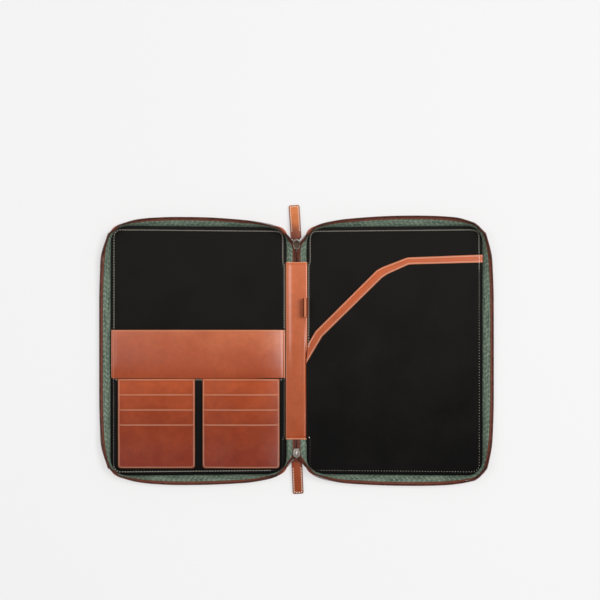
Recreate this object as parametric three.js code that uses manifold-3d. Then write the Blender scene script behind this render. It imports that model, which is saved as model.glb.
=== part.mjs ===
// A zip folder for A4 papers, lying open on its cover. Two stiff halves meet at a leather spine, and a
// soft wall with half of a zip on its rim stands round each half. The left half carries a document
// pocket and two banks of card slots, the right half a pocket with a slanting bound mouth.
// Millimetres. X runs across the open folder, Y along its spine, Z up from the table. The origin lies
// under the middle of the spine.

import * as THREE from "three";
import { mergeVertices } from "three/addons/utils/BufferGeometryUtils.js";
import Module from "manifold-3d";

// Main sizes
const panelWidth = 230.3; // an inner panel, from the spine to its outer edge
const panelHeight = 328.6; // along its outer edge
const spineTaper = 2.2; // the panel's top and bottom edges come in by this much towards the spine
const spineWidth = 28.6; // between the two inner panels
const outerCornerRadius = 13;
const spineCornerRadius = 13;

// Sheet thicknesses and the clearance between sheets
const clearance = 0.3;
const coverThickness = 2;
const panelThickness = 2.4;
const pocketThickness = 1;
const liningThickness = 0.7;
const gussetThickness = 1;
const tapeThickness = 0.8;

// The cover and its spine
const coverMargin = 2.7; // the cover shows past the inner panels by this much
const spineNotch = 31; // the cover's spine stops this far short of the panels' height

// The wall that stands round each half
const wallWidth = 16.5; // from its foot to the outer edge of the zip teeth
const leatherShare = 0.52; // the lower share of the wall that is leather outside
const teethWidth = 3;
const teethThickness = 2.2;
const bareTape = 2; // tape between the lining and the teeth
const stripGap = 0.45; // between the wall's strips, edge to edge
const smallestRound = 0.5; // of an outline taken in at its corners
const wallTail = 41.3; // the stretch of wall that folds down beside the spine

// The spine's inner leather, with its pen loop
const spinePanelHeight = 233.6;
const spinePanelWidth = 28.2;
const spinePanelThickness = 1.3;
const spineRidge = 0.6; // the sheet swells by this much over its two long seams
const spineSheetSteps = 12; // facets across the sheet
const seamRibWidth = 1.2;
const seamRibShort = 26; // the seams stop this far short of the sheet's height, over the zip's tails
const loopWidth = 7.2;
const loopHeight = 13;
const loopLength = 24.6;
const loopWall = 1.2;
const loopSteps = 20; // facets round it
const loopCentreX = 12;
const loopCentreY = 56.5;

// The left half's pockets
const documentMouth = 27.3; // height of the document pocket's mouth over the folder's middle
const documentLift = 1; // the mouth stands open by this much in the middle
const cardPanelTop = -35.8;
const cardPanelThickness = 1;
const cardBankWidth = 100.7;
const cardBankNear = 22.6; // from the folder's middle to the bank by the spine
const cardBankFar = 134; // and to the bank by the outer edge
const cardTop = -37.1;
const cardStep = 19.9; // from one card's slot to the next
const cardSlots = 4;
const cardPocketHeight = 57.5; // the front pocket of a bank
const cardOverlap = 5; // how far a slot's leather runs down behind the next one
const cardCornerRadius = 3;

// The right half's pocket
const pocketInset = 0.9; // the pockets' edges lie this far inside the panel's edge
const tabletLift = 1;
const trimWidth = 10.9;
const trimThickness = 1.1;
const trimLip = 1.2; // the trim turns down over the pocket's edge
const trimOverhang = 0.6;
const bendMargin = 1; // the pocket's sheet bends no nearer than this to the panel's corner rounds

// The zip's pulls
const sliderLength = 12;
const sliderWidth = 9.8;
const sliderPlate = 1.1;
const sliderGap = 3; // between the slider's plates
const topSliderIn = 23.8; // the slider's middle lies this far inside the panels' upper edge
const bottomSliderIn = 27.3;
const bridgeWidth = 1.8;
const bridgeGap = 2.1;
const bridgeBar = 1.1;
const ringWire = 1.2;
const ringWidth = 8.4;
const ringReach = 13; // between the middles of the ring's two bars
const ringInBridge = 1.4; // along the slider, from its middle
const tabWidth = 14.4;
const tabLength = 42.5;
const tabLeather = 1.5; // each of its two layers
const tabCornerRadius = 2.4;
const tabGrip = 6; // the ring goes this far in between the layers
const topTabYaw = 3.9; // degrees
const bottomTabYaw = 2.6;

// How the wall stands, from the end of its tail by the spine to the middle of the outer edge. "at" is
// the share of that stretch of the panel's edge, "lean" and "rise" are shares of the wall's width, and
// "bend" is 0.5 for a wall that opens evenly and 1 for one that lies over flat at its rim.
const wallSections = [
  { stretch: "tail", at: 0.0, lean: 0.83, rise: 0.158, bend: 1.0 },
  { stretch: "tail", at: 0.22, lean: 0.83, rise: 0.16, bend: 1.0 },
  { stretch: "tail", at: 0.4, lean: 0.83, rise: 0.22, bend: 1.0 },
  { stretch: "tail", at: 0.55, lean: 0.83, rise: 0.31, bend: 1.0 },
  { stretch: "tail", at: 0.72, lean: 0.825, rise: 0.48, bend: 1.0 },
  { stretch: "tail", at: 0.85, lean: 0.57, rise: 0.61, bend: 0.9 },
  { stretch: "tail", at: 0.93, lean: 0.39, rise: 0.69, bend: 0.8 },
  { stretch: "tail", at: 1.0, lean: 0.25, rise: 0.76, bend: 0.7 },
  { stretch: "spineCorner", at: 0.3, lean: -0.12, rise: 0.88, bend: 0.5 },
  { stretch: "spineCorner", at: 0.6, lean: -0.19, rise: 0.94, bend: 0.5 },
  { stretch: "spineCorner", at: 1.0, lean: -0.04, rise: 0.97, bend: 0.5 },
  { stretch: "topEdge", at: 0.04, lean: 0.21, rise: 0.93, bend: 0.5 },
  { stretch: "topEdge", at: 0.1, lean: 0.39, rise: 0.87, bend: 0.5 },
  { stretch: "topEdge", at: 0.23, lean: 0.59, rise: 0.77, bend: 0.5 },
  { stretch: "topEdge", at: 0.49, lean: 0.74, rise: 0.65, bend: 0.5 },
  { stretch: "topEdge", at: 0.62, lean: 0.74, rise: 0.65, bend: 0.5 },
  { stretch: "topEdge", at: 0.81, lean: 0.61, rise: 0.75, bend: 0.5 },
  { stretch: "topEdge", at: 0.93, lean: 0.33, rise: 0.89, bend: 0.5 },
  { stretch: "topEdge", at: 1.0, lean: 0.02, rise: 0.95, bend: 0.5 },
  { stretch: "outerCorner", at: 0.5, lean: -0.31, rise: 0.91, bend: 0.5 },
  { stretch: "outerEdge", at: 0.0, lean: 0.07, rise: 0.95, bend: 0.5 },
  { stretch: "outerEdge", at: 0.04, lean: 0.28, rise: 0.91, bend: 0.5 },
  { stretch: "outerEdge", at: 0.13, lean: 0.54, rise: 0.8, bend: 0.5 },
  { stretch: "outerEdge", at: 0.3, lean: 0.745, rise: 0.63, bend: 0.5 },
  { stretch: "outerEdge", at: 0.56, lean: 0.87, rise: 0.48, bend: 0.5 },
  { stretch: "outerEdge", at: 1.0, lean: 0.88, rise: 0.46, bend: 0.5 },
];
const wallSteps = { tail: 9, spineCorner: 6, topEdge: 12, outerCorner: 6, outerEdge: 6 };

// The mouth of the right half's pocket: the middle of its trim, as shares of the panel's width and of
// half its height, with the trim's width as a share of trimWidth
const trimSections = [
  { across: 0.0, up: -0.02, width: 1.0 },
  { across: 0.066, up: 0.136, width: 1.0 },
  { across: 0.411, up: 0.615, width: 1.08 },
  { across: 0.444, up: 0.643, width: 1.0 },
  { across: 0.576, up: 0.72, width: 0.82 },
  { across: 1.0, up: 0.74, width: 0.92 },
];
const trimSteps = [3, 8, 1, 3, 7];

// The slider's plates from above: half widths as shares of its width, along its length
const sliderOutline = [
  { along: -0.5, half: 0.3 },
  { along: -0.42, half: 0.36 },
  { along: -0.05, half: 0.5 },
  { along: 0.15, half: 0.5 },
  { along: 0.34, half: 0.4 },
  { along: 0.46, half: 0.24 },
  { along: 0.5, half: 0.1 },
];

// Places worked out from the sizes
const spineHalf = spineWidth / 2;
const outerEdge = spineHalf + panelWidth;
const outerHalf = panelHeight / 2;
const topSliderAt = outerHalf - topSliderIn;
const bottomSliderAt = outerHalf - bottomSliderIn;
const spineHalfHeight = outerHalf - spineTaper;
const panelBottom = coverThickness + clearance;
const panelTop = panelBottom + panelThickness;
const pocketBottom = panelTop + clearance;
const pocketTop = pocketBottom + pocketThickness;
const cardPanelBottom = pocketTop + clearance;
const cardPanelUpper = cardPanelBottom + cardPanelThickness;
const wallFoot = coverThickness + clearance;
const wallDepth = liningThickness + clearance + Math.max(gussetThickness, tapeThickness);
const tapeMiddle = liningThickness + clearance + tapeThickness / 2;
const teethInner = tapeMiddle - teethThickness / 2;
const teethOuter = tapeMiddle + teethThickness / 2;
const deepest = Math.max(wallDepth, teethOuter);

const wasm = await Module();
wasm.setup();

const colours = {
  tan: { color: 0xb9643f, roughness: 0.42, metalness: 0 },
  tanDark: { color: 0x8a4429, roughness: 0.5, metalness: 0 },
  black: { color: 0x1d1c1b, roughness: 0.75, metalness: 0 },
  green: { color: 0x5f7565, roughness: 0.9, metalness: 0 },
  brownTape: { color: 0x5b3626, roughness: 0.85, metalness: 0 },
  metal: { color: 0x9c9a97, roughness: 0.3, metalness: 1 },
};

// A named mesh in one of the folder's finishes
function piece(name, geometry, finish) {
  const mesh = new THREE.Mesh(geometry, new THREE.MeshStandardMaterial(colours[finish]));
  mesh.name = name;
  return mesh;
}

function smooth(x) {
  const t = Math.min(1, Math.max(0, x));
  return t * t * (3 - 2 * t);
}

// The triangles of a flat ring of points, wound the way the ring runs
function ringTriangles(ring) {
  const normal = new THREE.Vector3();
  ring.forEach((p, i) => normal.add(new THREE.Vector3().crossVectors(p, ring[(i + 1) % ring.length])));
  normal.normalize();
  const across = new THREE.Vector3().subVectors(ring[1], ring[0]).normalize();
  const up = new THREE.Vector3().crossVectors(normal, across);
  const flat = ring.map((p) => new THREE.Vector2(p.dot(across), p.dot(up)));
  return THREE.ShapeUtils.triangulateShape(flat, []).map(([a, b, c]) => {
    const turn = new THREE.Vector2().subVectors(flat[b], flat[a]);
    return turn.cross(new THREE.Vector2().subVectors(flat[c], flat[a])) > 0 ? [a, b, c] : [a, c, b];
  });
}

// A closed solid through a row of sections, each a ring of as many points in the same turn. A ring runs
// along one face and back along the other, and both faces are split along the same diagonals.
function loft(sections) {
  const count = sections[0].length;
  const last = (sections.length - 1) * count;
  const index = [];
  for (let s = 0; s < sections.length - 1; s++) {
    for (let i = 0; i < count; i++) {
      const a = s * count + i;
      const b = s * count + ((i + 1) % count);
      if (i < count / 2) index.push(a, b, b + count, a, b + count, a + count);
      else index.push(a, b, a + count, b, b + count, a + count);
    }
  }
  ringTriangles(sections[0]).forEach(([a, b, c]) => index.push(a, c, b));
  ringTriangles(sections.at(-1)).forEach(([a, b, c]) => index.push(last + a, last + b, last + c));
  const points = sections.flat();
  let volume = 0;
  for (let i = 0; i < index.length; i += 3) {
    const [p, q, r] = [points[index[i]], points[index[i + 1]], points[index[i + 2]]];
    volume += p.dot(new THREE.Vector3().crossVectors(q, r));
  }
  const geometry = new THREE.BufferGeometry().setFromPoints(points);
  geometry.setIndex(volume < 0 ? index.reverse() : index);
  return geometry;
}

// A flat outline made into a plate between two heights
function plate(outline, bottom, top) {
  const depth = top - bottom;
  const geometry = new THREE.ExtrudeGeometry(new THREE.Shape(outline), { depth, bevelEnabled: false });
  return geometry.translate(0, 0, bottom);
}

function toSolid(geometry) {
  const bare = new THREE.BufferGeometry();
  bare.setAttribute("position", geometry.getAttribute("position"));
  bare.setIndex(geometry.index);
  const merged = mergeVertices(bare, 1e-3);
  const vertProperties = merged.attributes.position.array;
  const triVerts = new Uint32Array(merged.index.array);
  return new wasm.Manifold(new wasm.Mesh({ numProp: 3, vertProperties, triVerts }));
}

function toGeometry(solid) {
  const mesh = solid.getMesh();
  const geometry = new THREE.BufferGeometry();
  geometry.setAttribute("position", new THREE.BufferAttribute(mesh.vertProperties, 3));
  geometry.setIndex(new THREE.BufferAttribute(mesh.triVerts, 1));
  return geometry;
}

function joined(...geometries) {
  return toGeometry(geometries.map(toSolid).reduce((all, next) => all.add(next)));
}

function cut(geometry, tool) {
  return toGeometry(toSolid(geometry).subtract(toSolid(tool)));
}

// The centre of the round at a corner, from the corner and the outward normals of its two edges
function roundCentre(corner, normalA, normalB, radius) {
  const turn = normalA.cross(normalB);
  const x = (-radius * (normalB.y - normalA.y)) / turn;
  const y = (-radius * (normalA.x - normalB.x)) / turn;
  return new THREE.Vector2(corner.x + x, corner.y + y);
}

// The right half's panel edge above the middle: straight edges and the two rounds between them
const edgeSlope = Math.atan2(spineTaper, panelWidth);
const spineNormal = new THREE.Vector2(-1, 0);
const topNormal = new THREE.Vector2(-Math.sin(edgeSlope), Math.cos(edgeSlope));
const outerNormal = new THREE.Vector2(1, 0);
const spineRound = roundCentre(
  new THREE.Vector2(spineHalf, spineHalfHeight), spineNormal, topNormal, spineCornerRadius);
const outerRound = roundCentre(
  new THREE.Vector2(outerEdge, outerHalf), topNormal, outerNormal, outerCornerRadius);

function onRound(centre, radius, from, to, share) {
  const start = from.angle();
  const end = to.angle() > start ? to.angle() - 2 * Math.PI : to.angle();
  const angle = start + (end - start) * share;
  const normal = new THREE.Vector2(Math.cos(angle), Math.sin(angle));
  return { point: centre.clone().addScaledVector(normal, radius), normal };
}

function onLine(from, to, normal, share) {
  return { point: from.clone().lerp(to, share), normal };
}

const topStart = onRound(spineRound, spineCornerRadius, spineNormal, topNormal, 1).point;
const topEnd = onRound(outerRound, outerCornerRadius, topNormal, outerNormal, 0).point;
const spineEdgeEnd = new THREE.Vector2(spineHalf, spineRound.y);
const tailEnd = new THREE.Vector2(spineHalf, spineRound.y - wallTail);
const outerStart = new THREE.Vector2(outerEdge, outerRound.y);
const outerMiddle = new THREE.Vector2(outerEdge, 0);
const stretches = {
  tail: (share) => onLine(tailEnd, spineEdgeEnd, spineNormal, share),
  spineCorner: (share) => onRound(spineRound, spineCornerRadius, spineNormal, topNormal, share),
  topEdge: (share) => onLine(topStart, topEnd, topNormal, share),
  outerCorner: (share) => onRound(outerRound, outerCornerRadius, topNormal, outerNormal, share),
  outerEdge: (share) => onLine(outerStart, outerMiddle, outerNormal, share),
};
const stretchOrder = Object.keys(stretches);

// The right half's outline, grown by a margin, as points for a plate
function halfOutline(margin) {
  const upper = [];
  for (const [name, centre] of [["spineCorner", spineRound], ["outerCorner", outerRound]]) {
    for (let i = 0; i <= wallSteps[name]; i++) {
      const { point, normal } = stretches[name](i / wallSteps[name]);
      upper.push(point.addScaledVector(normal, Math.max(margin, smallestRound - point.distanceTo(centre))));
    }
  }
  const lower = upper.map((p) => new THREE.Vector2(p.x, -p.y)).reverse();
  return [...upper, ...lower];
}

// Half the panel's height at a distance from the folder's middle, with its edge taken in by an inset
function edgeHeight(x, inset) {
  const reach = (centre, radius) => {
    const r = radius - inset;
    return centre.y + Math.sqrt(Math.max(0, r * r - (x - centre.x) ** 2));
  };
  if (x < spineRound.x) return reach(spineRound, spineCornerRadius);
  if (x > outerRound.x) return reach(outerRound, outerCornerRadius);
  return topStart.y + (x - topStart.x) * Math.tan(edgeSlope) - inset;
}

// Places across the panel where a pocket's sheet is cut: close together in the rounds of the corners
function crossSteps(inset, middles) {
  const steps = [];
  for (let i = 0; i <= 5; i++) {
    const reach = 1 - Math.cos((i / 5) * (Math.PI / 2));
    steps.push(spineHalf + inset + (spineCornerRadius - inset) * reach);
    steps.push(outerEdge - inset - (outerCornerRadius - inset) * reach);
  }
  return [...steps, ...middles].sort((a, b) => a - b);
}

// The wall's stations: where it stands on the panel's edge, which way is out, and how it leans and rises
function smoothThrough(rows, at, key) {
  const next = rows.findIndex((row) => row.place > at);
  const i = next < 0 ? rows.length - 2 : Math.max(0, next - 1);
  const [before, after] = [rows[i], rows[i + 1]];
  const rate = (a, b) => (b[key] - a[key]) / (b.place - a.place);
  const own = rate(before, after);
  const slope = (a, b) => (a * b <= 0 ? 0 : (2 * a * b) / (a + b));
  const first = i > 0 ? slope(rate(rows[i - 1], before), own) : own;
  const second = i + 2 < rows.length ? slope(own, rate(after, rows[i + 2])) : 0;
  const width = after.place - before.place;
  const t = (at - before.place) / width;
  const [t2, t3] = [t * t, t * t * t];
  return (
    before[key] * (2 * t3 - 3 * t2 + 1) +
    first * width * (t3 - 2 * t2 + t) +
    after[key] * (3 * t2 - 2 * t3) +
    second * width * (t3 - t2)
  );
}

function wallStations() {
  const rows = wallSections.map((row) => ({ ...row, place: stretchOrder.indexOf(row.stretch) + row.at }));
  rows.at(-1).place = stretchOrder.length;
  const upper = [];
  stretchOrder.forEach((name, number) => {
    for (let i = number ? 1 : 0; i <= wallSteps[name]; i++) {
      const place = number + i / wallSteps[name];
      const { point, normal } = stretches[name](i / wallSteps[name]);
      const [lean, rise, bend] = ["lean", "rise", "bend"].map((key) => smoothThrough(rows, place, key));
      upper.push({ point, normal, lean: lean * wallWidth, rise: rise * wallWidth, bend });
    }
  });
  const lower = upper.slice(0, -1).reverse().map((s) => ({
    ...s,
    point: new THREE.Vector2(s.point.x, -s.point.y),
    normal: new THREE.Vector2(s.normal.x, -s.normal.y),
  }));
  return [...upper, ...lower];
}

// A point of the wall: a length up the lining's face from its foot, and a depth behind that face
const profileSteps = 24;
function profileOf(station) {
  const points = [];
  for (let i = 0; i <= profileSteps; i++) {
    const t = i / profileSteps;
    const x = station.lean * t * t;
    const z = 2 * station.bend * station.rise * t * (1 - t) + station.rise * t * t;
    const before = points.at(-1);
    const length = before ? before.length + Math.hypot(x - before.x, z - before.z) : 0;
    points.push({ x, z, length });
  }
  return points;
}

function wallPoint(station, lengthOf, depth) {
  const profile = profileOf(station);
  const total = profile.at(-1).length;
  const length = Math.min(total, Math.max(0, lengthOf(total)));
  const i = Math.min(profileSteps - 1, Math.max(0, profile.findIndex((p) => p.length > length) - 1));
  const k = length >= total ? profileSteps - 1 : i;
  const [a, b] = [profile[k], profile[k + 1]];
  const share = (length - a.length) / (b.length - a.length);
  const [runX, runZ] = [(b.x - a.x) / (b.length - a.length), (b.z - a.z) / (b.length - a.length)];
  const outward = clearance + a.x + (b.x - a.x) * share + depth * runZ;
  const lifted = a.z + (b.z - a.z) * share - depth * runX;
  const resting = (deepest - depth) * Math.min(1, length / (0.25 * total));
  const flat = station.point.clone().addScaledVector(station.normal, outward);
  return new THREE.Vector3(flat.x, flat.y, wallFoot + Math.max(lifted, resting));
}

// A strip of the wall between two lengths and two depths
function wallStrip(stations, lengths, inner, outer) {
  return loft(stations.map((station) => [
    ...lengths.map((length) => wallPoint(station, length, inner)),
    ...lengths.toReversed().map((length) => wallPoint(station, length, outer)),
  ]));
}

// One half without its pockets, as the right half stands
function wallOfHalf(side) {
  const stations = wallStations();
  const behind = liningThickness + clearance;
  const liningEnd = (total) => total - teethWidth - bareTape;
  const lining = wallStrip(
    stations,
    [() => 0, (t) => 0.5 * leatherShare * t, (t) => leatherShare * t, liningEnd],
    0, liningThickness);
  const gusset = wallStrip(
    stations,
    [() => 0, (t) => 0.5 * leatherShare * t, (t) => leatherShare * t],
    behind, behind + gussetThickness);
  const tape = wallStrip(
    stations,
    [(t) => leatherShare * t + stripGap, liningEnd, (t) => t - teethWidth - stripGap],
    behind, behind + tapeThickness);
  const teeth = wallStrip(stations, [(t) => t - teethWidth, (t) => t], teethInner, teethOuter);
  return [
    piece(`panel_${side}`, plate(halfOutline(0), panelBottom, panelTop), "black"),
    piece(`gusset_${side}`, gusset, "tanDark"),
    piece(`lining_${side}`, lining, "green"),
    piece(`zip_tape_${side}`, tape, "brownTape"),
    piece(`zip_teeth_${side}`, teeth, "brownTape"),
  ];
}

// The outer leather: both halves and the spine between them
function cover() {
  const right = plate(halfOutline(coverMargin), 0, coverThickness);
  const left = right.clone().applyMatrix4(new THREE.Matrix4().makeScale(-1, 1, 1));
  left.setIndex([...Array(left.attributes.position.count).keys()].reverse());
  const reach = spineHalfHeight - spineNotch;
  const spine = new THREE.BoxGeometry(spineWidth, 2 * reach, coverThickness);
  return joined(right, left, spine.translate(0, 0, coverThickness / 2));
}

// A pocket's sheet on a panel: it follows the panel's lower edge and ends at the mouth's height
function pocketSheet({ steps, low, mouth, bottom, thickness, lift, rows }) {
  return loft(steps.map((x) => {
    const heights = Array.from({ length: rows + 1 }, (_, i) => low(x) + ((mouth(x) - low(x)) * i) / rows);
    const upper = heights.map((y) => new THREE.Vector3(x, y, bottom + thickness + lift(x, y)));
    const lower = heights.toReversed().map((y) => new THREE.Vector3(x, y, bottom + lift(x, y)));
    return [...upper, ...lower];
  }));
}

// How far a pocket's sheet stands off the panel: nothing at its seams, most at the middle of its mouth
function mouthLift(amount, mouth, fade) {
  return (x, y) => {
    const across = Math.sin(Math.PI * Math.min(1, Math.max(0, (x - spineHalf) / panelWidth)));
    return amount * across * smooth((y - mouth(x) + fade) / fade);
  };
}

const lowerEdge = (x) => -edgeHeight(x, pocketInset);

function documentPocket() {
  const mouth = () => documentMouth;
  const middles = [0.2, 0.35, 0.5, 0.65, 0.8].map((share) => spineHalf + share * panelWidth);
  return pocketSheet({
    steps: crossSteps(pocketInset, middles),
    low: lowerEdge,
    mouth,
    bottom: pocketBottom,
    thickness: pocketThickness,
    lift: mouthLift(documentLift, mouth, documentMouth - cardPanelTop),
    rows: 6,
  });
}

function cardPanel() {
  return pocketSheet({
    steps: crossSteps(pocketInset, []),
    low: lowerEdge,
    mouth: () => cardPanelTop,
    bottom: cardPanelBottom,
    thickness: cardPanelThickness,
    lift: () => 0,
    rows: 1,
  });
}

// A bank of card slots: each slot's leather lies on the one behind it, so its upper edge stands proud
function cardBank(name, near) {
  const step = pocketThickness + clearance;
  return Array.from({ length: cardSlots }, (_, i) => {
    const top = cardTop - i * cardStep;
    const isFront = i === cardSlots - 1;
    const bottom = isFront ? top - cardPocketHeight : top - cardStep - cardOverlap;
    const slope = step / (cardStep + cardOverlap);
    const seat = cardPanelUpper + clearance;
    const heightAt = (y) => seat + Math.min(step, Math.max(0, (y - (top - cardStep - cardOverlap)) * slope));
    const round = isFront ? cardCornerRadius : 0;
    const steps = isFront
      ? [0, 0.3, 1].flatMap((share) => [near + round * share, near + cardBankWidth - round * share])
      : [near, near + cardBankWidth];
    const low = (x) => {
      const in_ = Math.min(x - near, near + cardBankWidth - x);
      const away = Math.max(0, round - in_);
      return bottom + round - Math.sqrt(round * round - away * away);
    };
    const breaks = isFront ? [top, top - cardStep - cardOverlap] : [top];
    const section = (x) => {
      const ys = [...breaks, low(x)];
      return [
        ...ys.map((y) => new THREE.Vector3(x, y, heightAt(y) + pocketThickness)),
        ...ys.toReversed().map((y) => new THREE.Vector3(x, y, heightAt(y))),
      ];
    };
    const geometry = loft(steps.sort((a, b) => a - b).map(section));
    return piece(`card_slot_${name}_${i + 1}`, geometry, "tan");
  });
}

// The slanting mouth of the right pocket: points along the trim's middle, with the way across it
function trimLine() {
  const corners = trimSections.map(({ across, up, width }) => ({
    point: new THREE.Vector2(spineHalf + across * panelWidth, up * outerHalf),
    width: width * trimWidth,
  }));
  const steepest = corners.map(({ point, width }, i) => {
    const before = corners[Math.max(0, i - 1)].point;
    const after = corners[Math.min(corners.length - 1, i + 1)].point;
    const inRun = new THREE.Vector2().subVectors(point, before).normalize();
    const outRun = new THREE.Vector2().subVectors(after, point).normalize();
    const run = new THREE.Vector2().addVectors(inRun, outRun).normalize();
    const mitre = i && i < corners.length - 1 ? Math.sqrt((1 + inRun.dot(outRun)) / 2) : 1;
    const across = new THREE.Vector2(-run.y, run.x);
    return { point, across: across.multiplyScalar(1 / mitre), width };
  });
  // Both ends are cut along the panel's upright edges
  [steepest[0], steepest.at(-1)].forEach((end, i) => {
    const next = i ? steepest.at(-2).point : steepest[1].point;
    const run = new THREE.Vector2().subVectors(end.point, next).normalize();
    end.across = new THREE.Vector2(0, 1 / Math.abs(run.x));
    end.point.x += i ? trimOverhang : clearance;
  });
  const line = [];
  steepest.slice(0, -1).forEach((from, i) => {
    const to = steepest[i + 1];
    for (let k = i ? 1 : 0; k <= trimSteps[i]; k++) {
      const share = k / trimSteps[i];
      line.push({
        point: from.point.clone().lerp(to.point, share),
        across: from.across.clone().lerp(to.across, share),
        width: from.width + (to.width - from.width) * share,
      });
    }
  });
  return line;
}

const trimPath = trimLine();

// The height of the line that runs beside the trim's middle, a share of its width above or below it
function besideTrim(x, side, taken) {
  const edge = trimPath.map(({ point, across, width }) =>
    point.clone().addScaledVector(across, side * width / 2 - taken));
  const i = Math.min(edge.length - 2, Math.max(0, edge.findIndex((p) => p.x > x) - 1));
  const k = x >= edge.at(-1).x ? edge.length - 2 : i;
  const share = (x - edge[k].x) / (edge[k + 1].x - edge[k].x);
  return edge[k].y + (edge[k + 1].y - edge[k].y) * share;
}

const tabletMouth = (x) => besideTrim(x, 1, trimLip + clearance);
const tabletRise = mouthLift(tabletLift, tabletMouth, outerHalf / 2);

function tabletPocket() {
  const bends = trimPath
    .map(({ point, across, width }) => point.x + across.x * (width / 2 - trimLip - clearance))
    .filter((x) => x > spineHalf + spineCornerRadius + bendMargin)
    .filter((x) => x < outerEdge - outerCornerRadius - bendMargin);
  return pocketSheet({
    steps: crossSteps(pocketInset, bends),
    low: lowerEdge,
    mouth: tabletMouth,
    bottom: pocketBottom,
    thickness: pocketThickness,
    lift: tabletRise,
    rows: 4,
  });
}

function pocketTrim() {
  const upper = pocketTop + clearance;
  return loft(trimPath.map(({ point, across, width }) => {
    const at = (offset, height) => {
      const flat = point.clone().addScaledVector(across, offset);
      const reach = Math.min(flat.y, tabletMouth(flat.x));
      return new THREE.Vector3(flat.x, flat.y, height + tabletRise(flat.x, reach));
    };
    return [
      at(width / 2, pocketBottom),
      at(width / 2, upper + trimThickness),
      at(0, upper + trimThickness),
      at(-width / 2, upper + trimThickness),
      at(-width / 2, upper),
      at(0, upper),
      at(width / 2 - trimLip, upper),
      at(width / 2 - trimLip, pocketBottom),
    ];
  }));
}

// The spine's inner leather: a sheet with a soft swell over each seam, on ribs that reach the cover
const spinePanelBottom = wallFoot + deepest + clearance;
const spinePanelUpper = spinePanelBottom + spinePanelThickness;

function spineSwell(x) {
  const share = Math.abs(x) / (spinePanelWidth / 2);
  return spineRidge * smooth(share / 0.68) * smooth((1 - share) / 0.3);
}

function spinePanel() {
  const half = spinePanelWidth / 2;
  const across = [...Array(spineSheetSteps + 1).keys()].map((i) => half * ((2 * i) / spineSheetSteps - 1));
  const section = (y) => [
    ...across.map((x) => new THREE.Vector3(x, y, spinePanelUpper + spineSwell(x))),
    ...across.toReversed().map((x) => new THREE.Vector3(x, y, spinePanelBottom + spineSwell(x))),
  ];
  const sheet = loft([-spinePanelHeight / 2, spinePanelHeight / 2].map(section));
  const ribTop = spinePanelBottom + spinePanelThickness / 2;
  const ribs = [-1, 1].map((side) => {
    const height = ribTop - wallFoot;
    const rib = new THREE.BoxGeometry(seamRibWidth, spinePanelHeight - seamRibShort, height);
    const ribX = side * (half - seamRibWidth / 2 - 2 * clearance);
    return rib.translate(ribX, 0, wallFoot + height / 2);
  });
  return joined(sheet, ...ribs);
}

// The pen loop: an upright loop of leather strip on the spine's right-hand seam
function penLoop() {
  const ring = (halfWidth, halfHeight) => {
    const points = [];
    for (let i = 0; i < loopSteps; i++) {
      const angle = (2 * Math.PI * i) / loopSteps;
      const [c, s] = [Math.cos(angle), Math.sin(angle)];
      const bulge = (v) => Math.sign(v) * Math.sqrt(Math.abs(v));
      points.push(new THREE.Vector2(halfWidth * bulge(c), halfHeight * s));
    }
    return points;
  };
  const shape = new THREE.Shape(ring(loopWidth / 2, loopHeight / 2));
  const hole = new THREE.Path(ring(loopWidth / 2 - loopWall, loopHeight / 2 - loopWall));
  shape.holes.push(hole);
  const geometry = new THREE.ExtrudeGeometry(shape, { depth: loopLength, bevelEnabled: false });
  geometry.rotateX(Math.PI / 2);
  const foot = spinePanelUpper + spineRidge + clearance + loopHeight / 2;
  return geometry.translate(loopCentreX, loopCentreY + loopLength / 2, foot);
}

// The slope and height of the zip where the slider sits on it
function riseAt(y) {
  const rows = wallSections
    .filter((row) => row.stretch === "tail")
    .map((row) => ({ ...row, place: row.at }));
  const share = (y - tailEnd.y) / wallTail;
  return wallFoot + wallWidth * smoothThrough(rows, share, "rise") - tapeMiddle;
}

function slopeAt(y) {
  const reach = sliderLength / 4;
  return Math.atan2(riseAt(y + reach) - riseAt(y - reach), 2 * reach);
}

function slider() {
  const right = sliderOutline.map(({ along, half }) =>
    new THREE.Vector2(half * sliderWidth, along * sliderLength));
  const left = right.map((p) => new THREE.Vector2(-p.x, p.y)).reverse();
  const outline = [...right, ...left];
  const inner = sliderGap / 2;
  const upper = plate(outline, inner, inner + sliderPlate);
  const lower = plate(outline, -inner - sliderPlate, -inner);
  const post = new THREE.BoxGeometry(0.22 * sliderWidth, 0.2 * sliderLength, sliderGap + sliderPlate);
  post.translate(0, 0.34 * sliderLength, 0);
  const under = -inner - sliderPlate;
  const foot = 0.34 * sliderLength;
  const bridge = new THREE.Shape([
    new THREE.Vector2(-foot, under + sliderPlate / 2),
    new THREE.Vector2(-foot + bridgeBar / 2, under - bridgeGap - bridgeBar),
    new THREE.Vector2(foot - bridgeBar / 2, under - bridgeGap - bridgeBar),
    new THREE.Vector2(foot, under + sliderPlate / 2),
    new THREE.Vector2(foot - bridgeBar, under + sliderPlate / 2),
    new THREE.Vector2(foot - 1.5 * bridgeBar, under - bridgeGap),
    new THREE.Vector2(-foot + 1.5 * bridgeBar, under - bridgeGap),
    new THREE.Vector2(-foot + bridgeBar, under + sliderPlate / 2),
  ]);
  const bar = new THREE.ExtrudeGeometry(bridge, { depth: bridgeWidth, bevelEnabled: false });
  bar.translate(0, 0, -bridgeWidth / 2).rotateY(Math.PI / 2).rotateX(Math.PI / 2);
  return joined(upper, lower, post, bar);
}

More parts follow.
